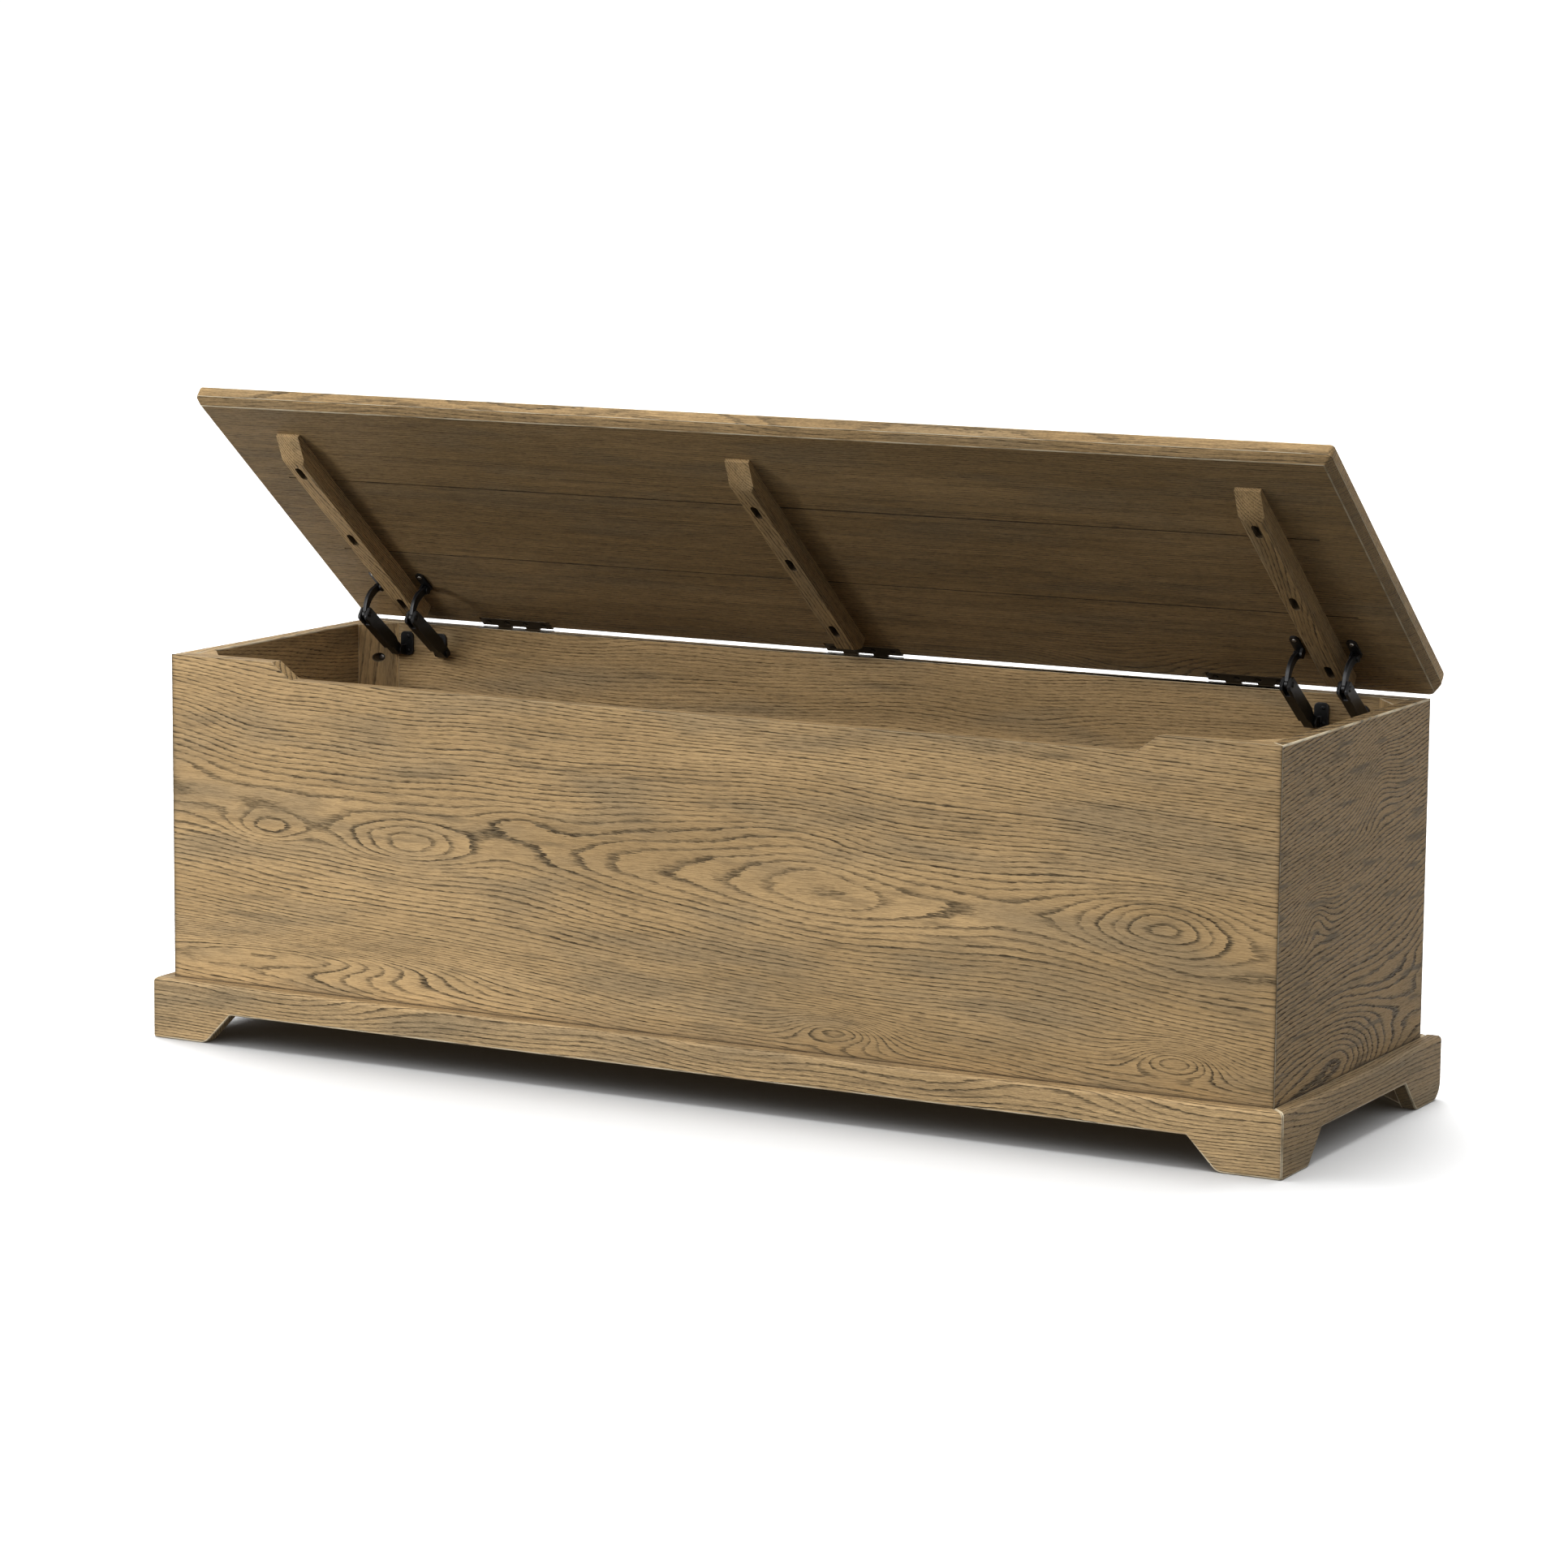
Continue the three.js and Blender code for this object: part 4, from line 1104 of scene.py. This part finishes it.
CAMERA_PLACE = Vector((2.64523, -4.91578, 1.20134))
CAMERA_TURN = radians(28.285)  # to the left of straight back
CAMERA_DIP = radians(8.799)
CAMERA_ROLL = radians(0.524)
CAMERA_LENS = 110.957
FLOOR_REACH = 40.0
FLOOR_STEPS = 96
DOME_ROWS = 16
LAMPS = (  # name, kind, place, aim, size, power, and whether it lights the floor alone
    ("key", "AREA", (-3.0, -7.4, 4.8), (0, 0, 0.3), 4.5, 448, False),
    ("side", "AREA", (-2.0, -1.7, 0.35), (-0.7, -0.1, 0.65), 0.5, 17, False),
    ("floor_light", "SUN", (-1.7, 1.7, 4.4), (0, 0, 0), radians(60), 10.5, True),
)


def make_camera():
    camera = bpy.data.objects.new("camera", bpy.data.cameras.new("camera"))
    camera.data.sensor_width = 36
    camera.data.lens = CAMERA_LENS
    camera.data.clip_end = 200
    turn = Matrix.Rotation(CAMERA_TURN, 4, "Z") @ Matrix.Rotation(pi / 2 - CAMERA_DIP, 4, "X")
    roll = Matrix.Rotation(CAMERA_ROLL, 4, "Z")
    camera.matrix_world = Matrix.Translation(CAMERA_PLACE) @ turn @ roll
    bpy.context.scene.collection.objects.link(camera)
    bpy.context.scene.camera = camera


def make_floor():
    """A round pale floor and a plain bright dome behind it."""
    shape = bmesh.new()
    shape.faces.new(ring_of(shape, FLOOR_REACH, 0, FLOOR_STEPS))
    finish, _, shader = new_finish("studio_floor")
    shader.inputs["Base Color"].default_value = colours().floor
    shader.inputs["Roughness"].default_value = 0.9
    shader.inputs["Specular IOR Level"].default_value = 0.0
    stage_piece(shape, "floor", finish)
    dome = bmesh.new()
    rises = [0.5 * pi * index / DOME_ROWS for index in range(DOME_ROWS)]
    rings = [ring_of(dome, FLOOR_REACH * cos(a), FLOOR_REACH * sin(a), FLOOR_STEPS) for a in rises]
    bands(dome, rings[::-1])
    dome.faces.new(rings[-1])
    finish, _, shader = new_finish("studio_dome")
    shader.inputs["Base Color"].default_value = (0, 0, 0, 1)
    shader.inputs["Emission Color"].default_value = (1, 1, 1, 1)
    shader.inputs["Emission Strength"].default_value = 1.0
    stage_piece(dome, "backdrop", finish)


def stage_piece(shape, name, finish):
    """Part of the stage: it shows, and takes light, but throws none back on the bench."""
    piece = new_object(shape, name)
    piece.data.materials.append(finish)
    piece.visible_diffuse = False
    piece.visible_transmission = False
    piece.visible_shadow = False


def make_lamp(name, kind, place, aim, size, power, lights_floor):
    """A soft lamp that lights either the floor alone or everything but the floor."""
    lamp = bpy.data.objects.new(name, bpy.data.lights.new(name, kind))
    if kind == "SUN":
        lamp.data.angle = size
    else:
        lamp.data.shape = "DISK"
        lamp.data.size = size
    lamp.data.energy = power
    lamp.matrix_world = facing(place, Vector(place) - Vector(aim))
    lamp.visible_camera = False
    bpy.context.scene.collection.objects.link(lamp)
    linked = bpy.data.collections.new(f"{name}_receivers")
    linked.objects.link(bpy.data.objects["floor"])
    linked.collection_objects[0].light_linking.link_state = "INCLUDE" if lights_floor else "EXCLUDE"
    lamp.light_linking.receiver_collection = linked


def make_sky():
    """Soft light that is strong overhead and weak from below."""
    world = bpy.data.worlds.new("studio")
    bpy.context.scene.world = world
    world.use_nodes = True
    wire = Wire(world.node_tree)
    height = wire.node("ShaderNodeTexCoord", output="Generated").dot(UP)
    strength = 0.1 + 0.2 * height.step(-0.1, 0.15) + 1.1 * height.step(0.1, 0.8)
    sky = world.node_tree.nodes["Background"]
    sky.inputs["Color"].default_value = (1, 1, 1, 1)
    plug(strength, sky, "Strength")


def make_stage():
    make_camera()
    make_floor()
    make_sky()
    for lamp in LAMPS:
        make_lamp(*lamp)
    bpy.context.scene.view_settings.view_transform = "Standard"


# ---------- operators, panel and main ----------

class BENCH_OT_stage(Operator):
    """Make the camera, the floor and the light"""
    bl_idname = "bench.stage"
    bl_label = "Stage"

    def execute(self, context):
        make_stage()
        return {"FINISHED"}


class BENCH_OT_box_boards(Operator):
    """Make the box's four panels and its bottom board"""
    bl_idname = "bench.box_boards"
    bl_label = "Box boards"

    def execute(self, context):
        make_box_boards()
        return {"FINISHED"}


class BENCH_OT_corner_blocks(Operator):
    """Make the four corner blocks"""
    bl_idname = "bench.corner_blocks"
    bl_label = "Corner blocks"

    def execute(self, context):
        make_corner_blocks()
        return {"FINISHED"}


class BENCH_OT_plinth(Operator):
    """Make the plinth boards and the glue blocks in the feet"""
    bl_idname = "bench.plinth"
    bl_label = "Plinth"

    def execute(self, context):
        make_plinth()
        return {"FINISHED"}


class BENCH_OT_lid(Operator):
    """Make the lid board with its moulded edge"""
    bl_idname = "bench.lid"
    bl_label = "Lid"

    def execute(self, context):
        make_lid()
        return {"FINISHED"}


class BENCH_OT_battens(Operator):
    """Make the three battens under the lid"""
    bl_idname = "bench.battens"
    bl_label = "Battens"

    def execute(self, context):
        make_battens()
        return {"FINISHED"}


class BENCH_OT_wood_screws(Operator):
    """Make the screws of the battens and the corner blocks"""
    bl_idname = "bench.wood_screws"
    bl_label = "Wood screws"

    def execute(self, context):
        make_screws()
        return {"FINISHED"}


class BENCH_OT_hinges(Operator):
    """Make the three butt hinges"""
    bl_idname = "bench.hinges"
    bl_label = "Hinges"

    def execute(self, context):
        make_hinges()
        return {"FINISHED"}


class BENCH_OT_stays(Operator):
    """Make the four lid stays"""
    bl_idname = "bench.stays"
    bl_label = "Lid stays"

    def execute(self, context):
        make_stays()
        return {"FINISHED"}


OPERATORS = (BENCH_OT_stage, BENCH_OT_box_boards, BENCH_OT_corner_blocks, BENCH_OT_plinth,
             BENCH_OT_lid, BENCH_OT_battens, BENCH_OT_wood_screws, BENCH_OT_hinges, BENCH_OT_stays)


class BENCH_PT_panel(Panel):
    """Lists the bench's pieces and what can be changed"""
    bl_label = "Storage Bench"
    bl_idname = "BENCH_PT_panel"
    bl_space_type = "VIEW_3D"
    bl_region_type = "UI"
    bl_category = "Bench"

    def draw(self, context):
        for operator in OPERATORS:
            self.layout.operator(operator.bl_idname)
        for group in (sizes(), colours(), grain()):
            for name in group.__annotations__:
                self.layout.prop(group, name)


GROUPS = {"bench_sizes": BenchSizes, "bench_colours": BenchColours, "bench_grain": BenchGrain}


def register():
    for kind in (*GROUPS.values(), *OPERATORS, BENCH_PT_panel):
        bpy.utils.register_class(kind)
    for name, kind in GROUPS.items():
        setattr(bpy.types.Scene, name, PointerProperty(type=kind))


def unregister():
    for name in GROUPS:
        delattr(bpy.types.Scene, name)
    for kind in reversed((*GROUPS.values(), *OPERATORS, BENCH_PT_panel)):
        bpy.utils.unregister_class(kind)


def main():
    register()
    for operator in OPERATORS:
        group, name = operator.bl_idname.split(".")
        getattr(getattr(bpy.ops, group), name)()


if __name__ == "__main__":
    main()
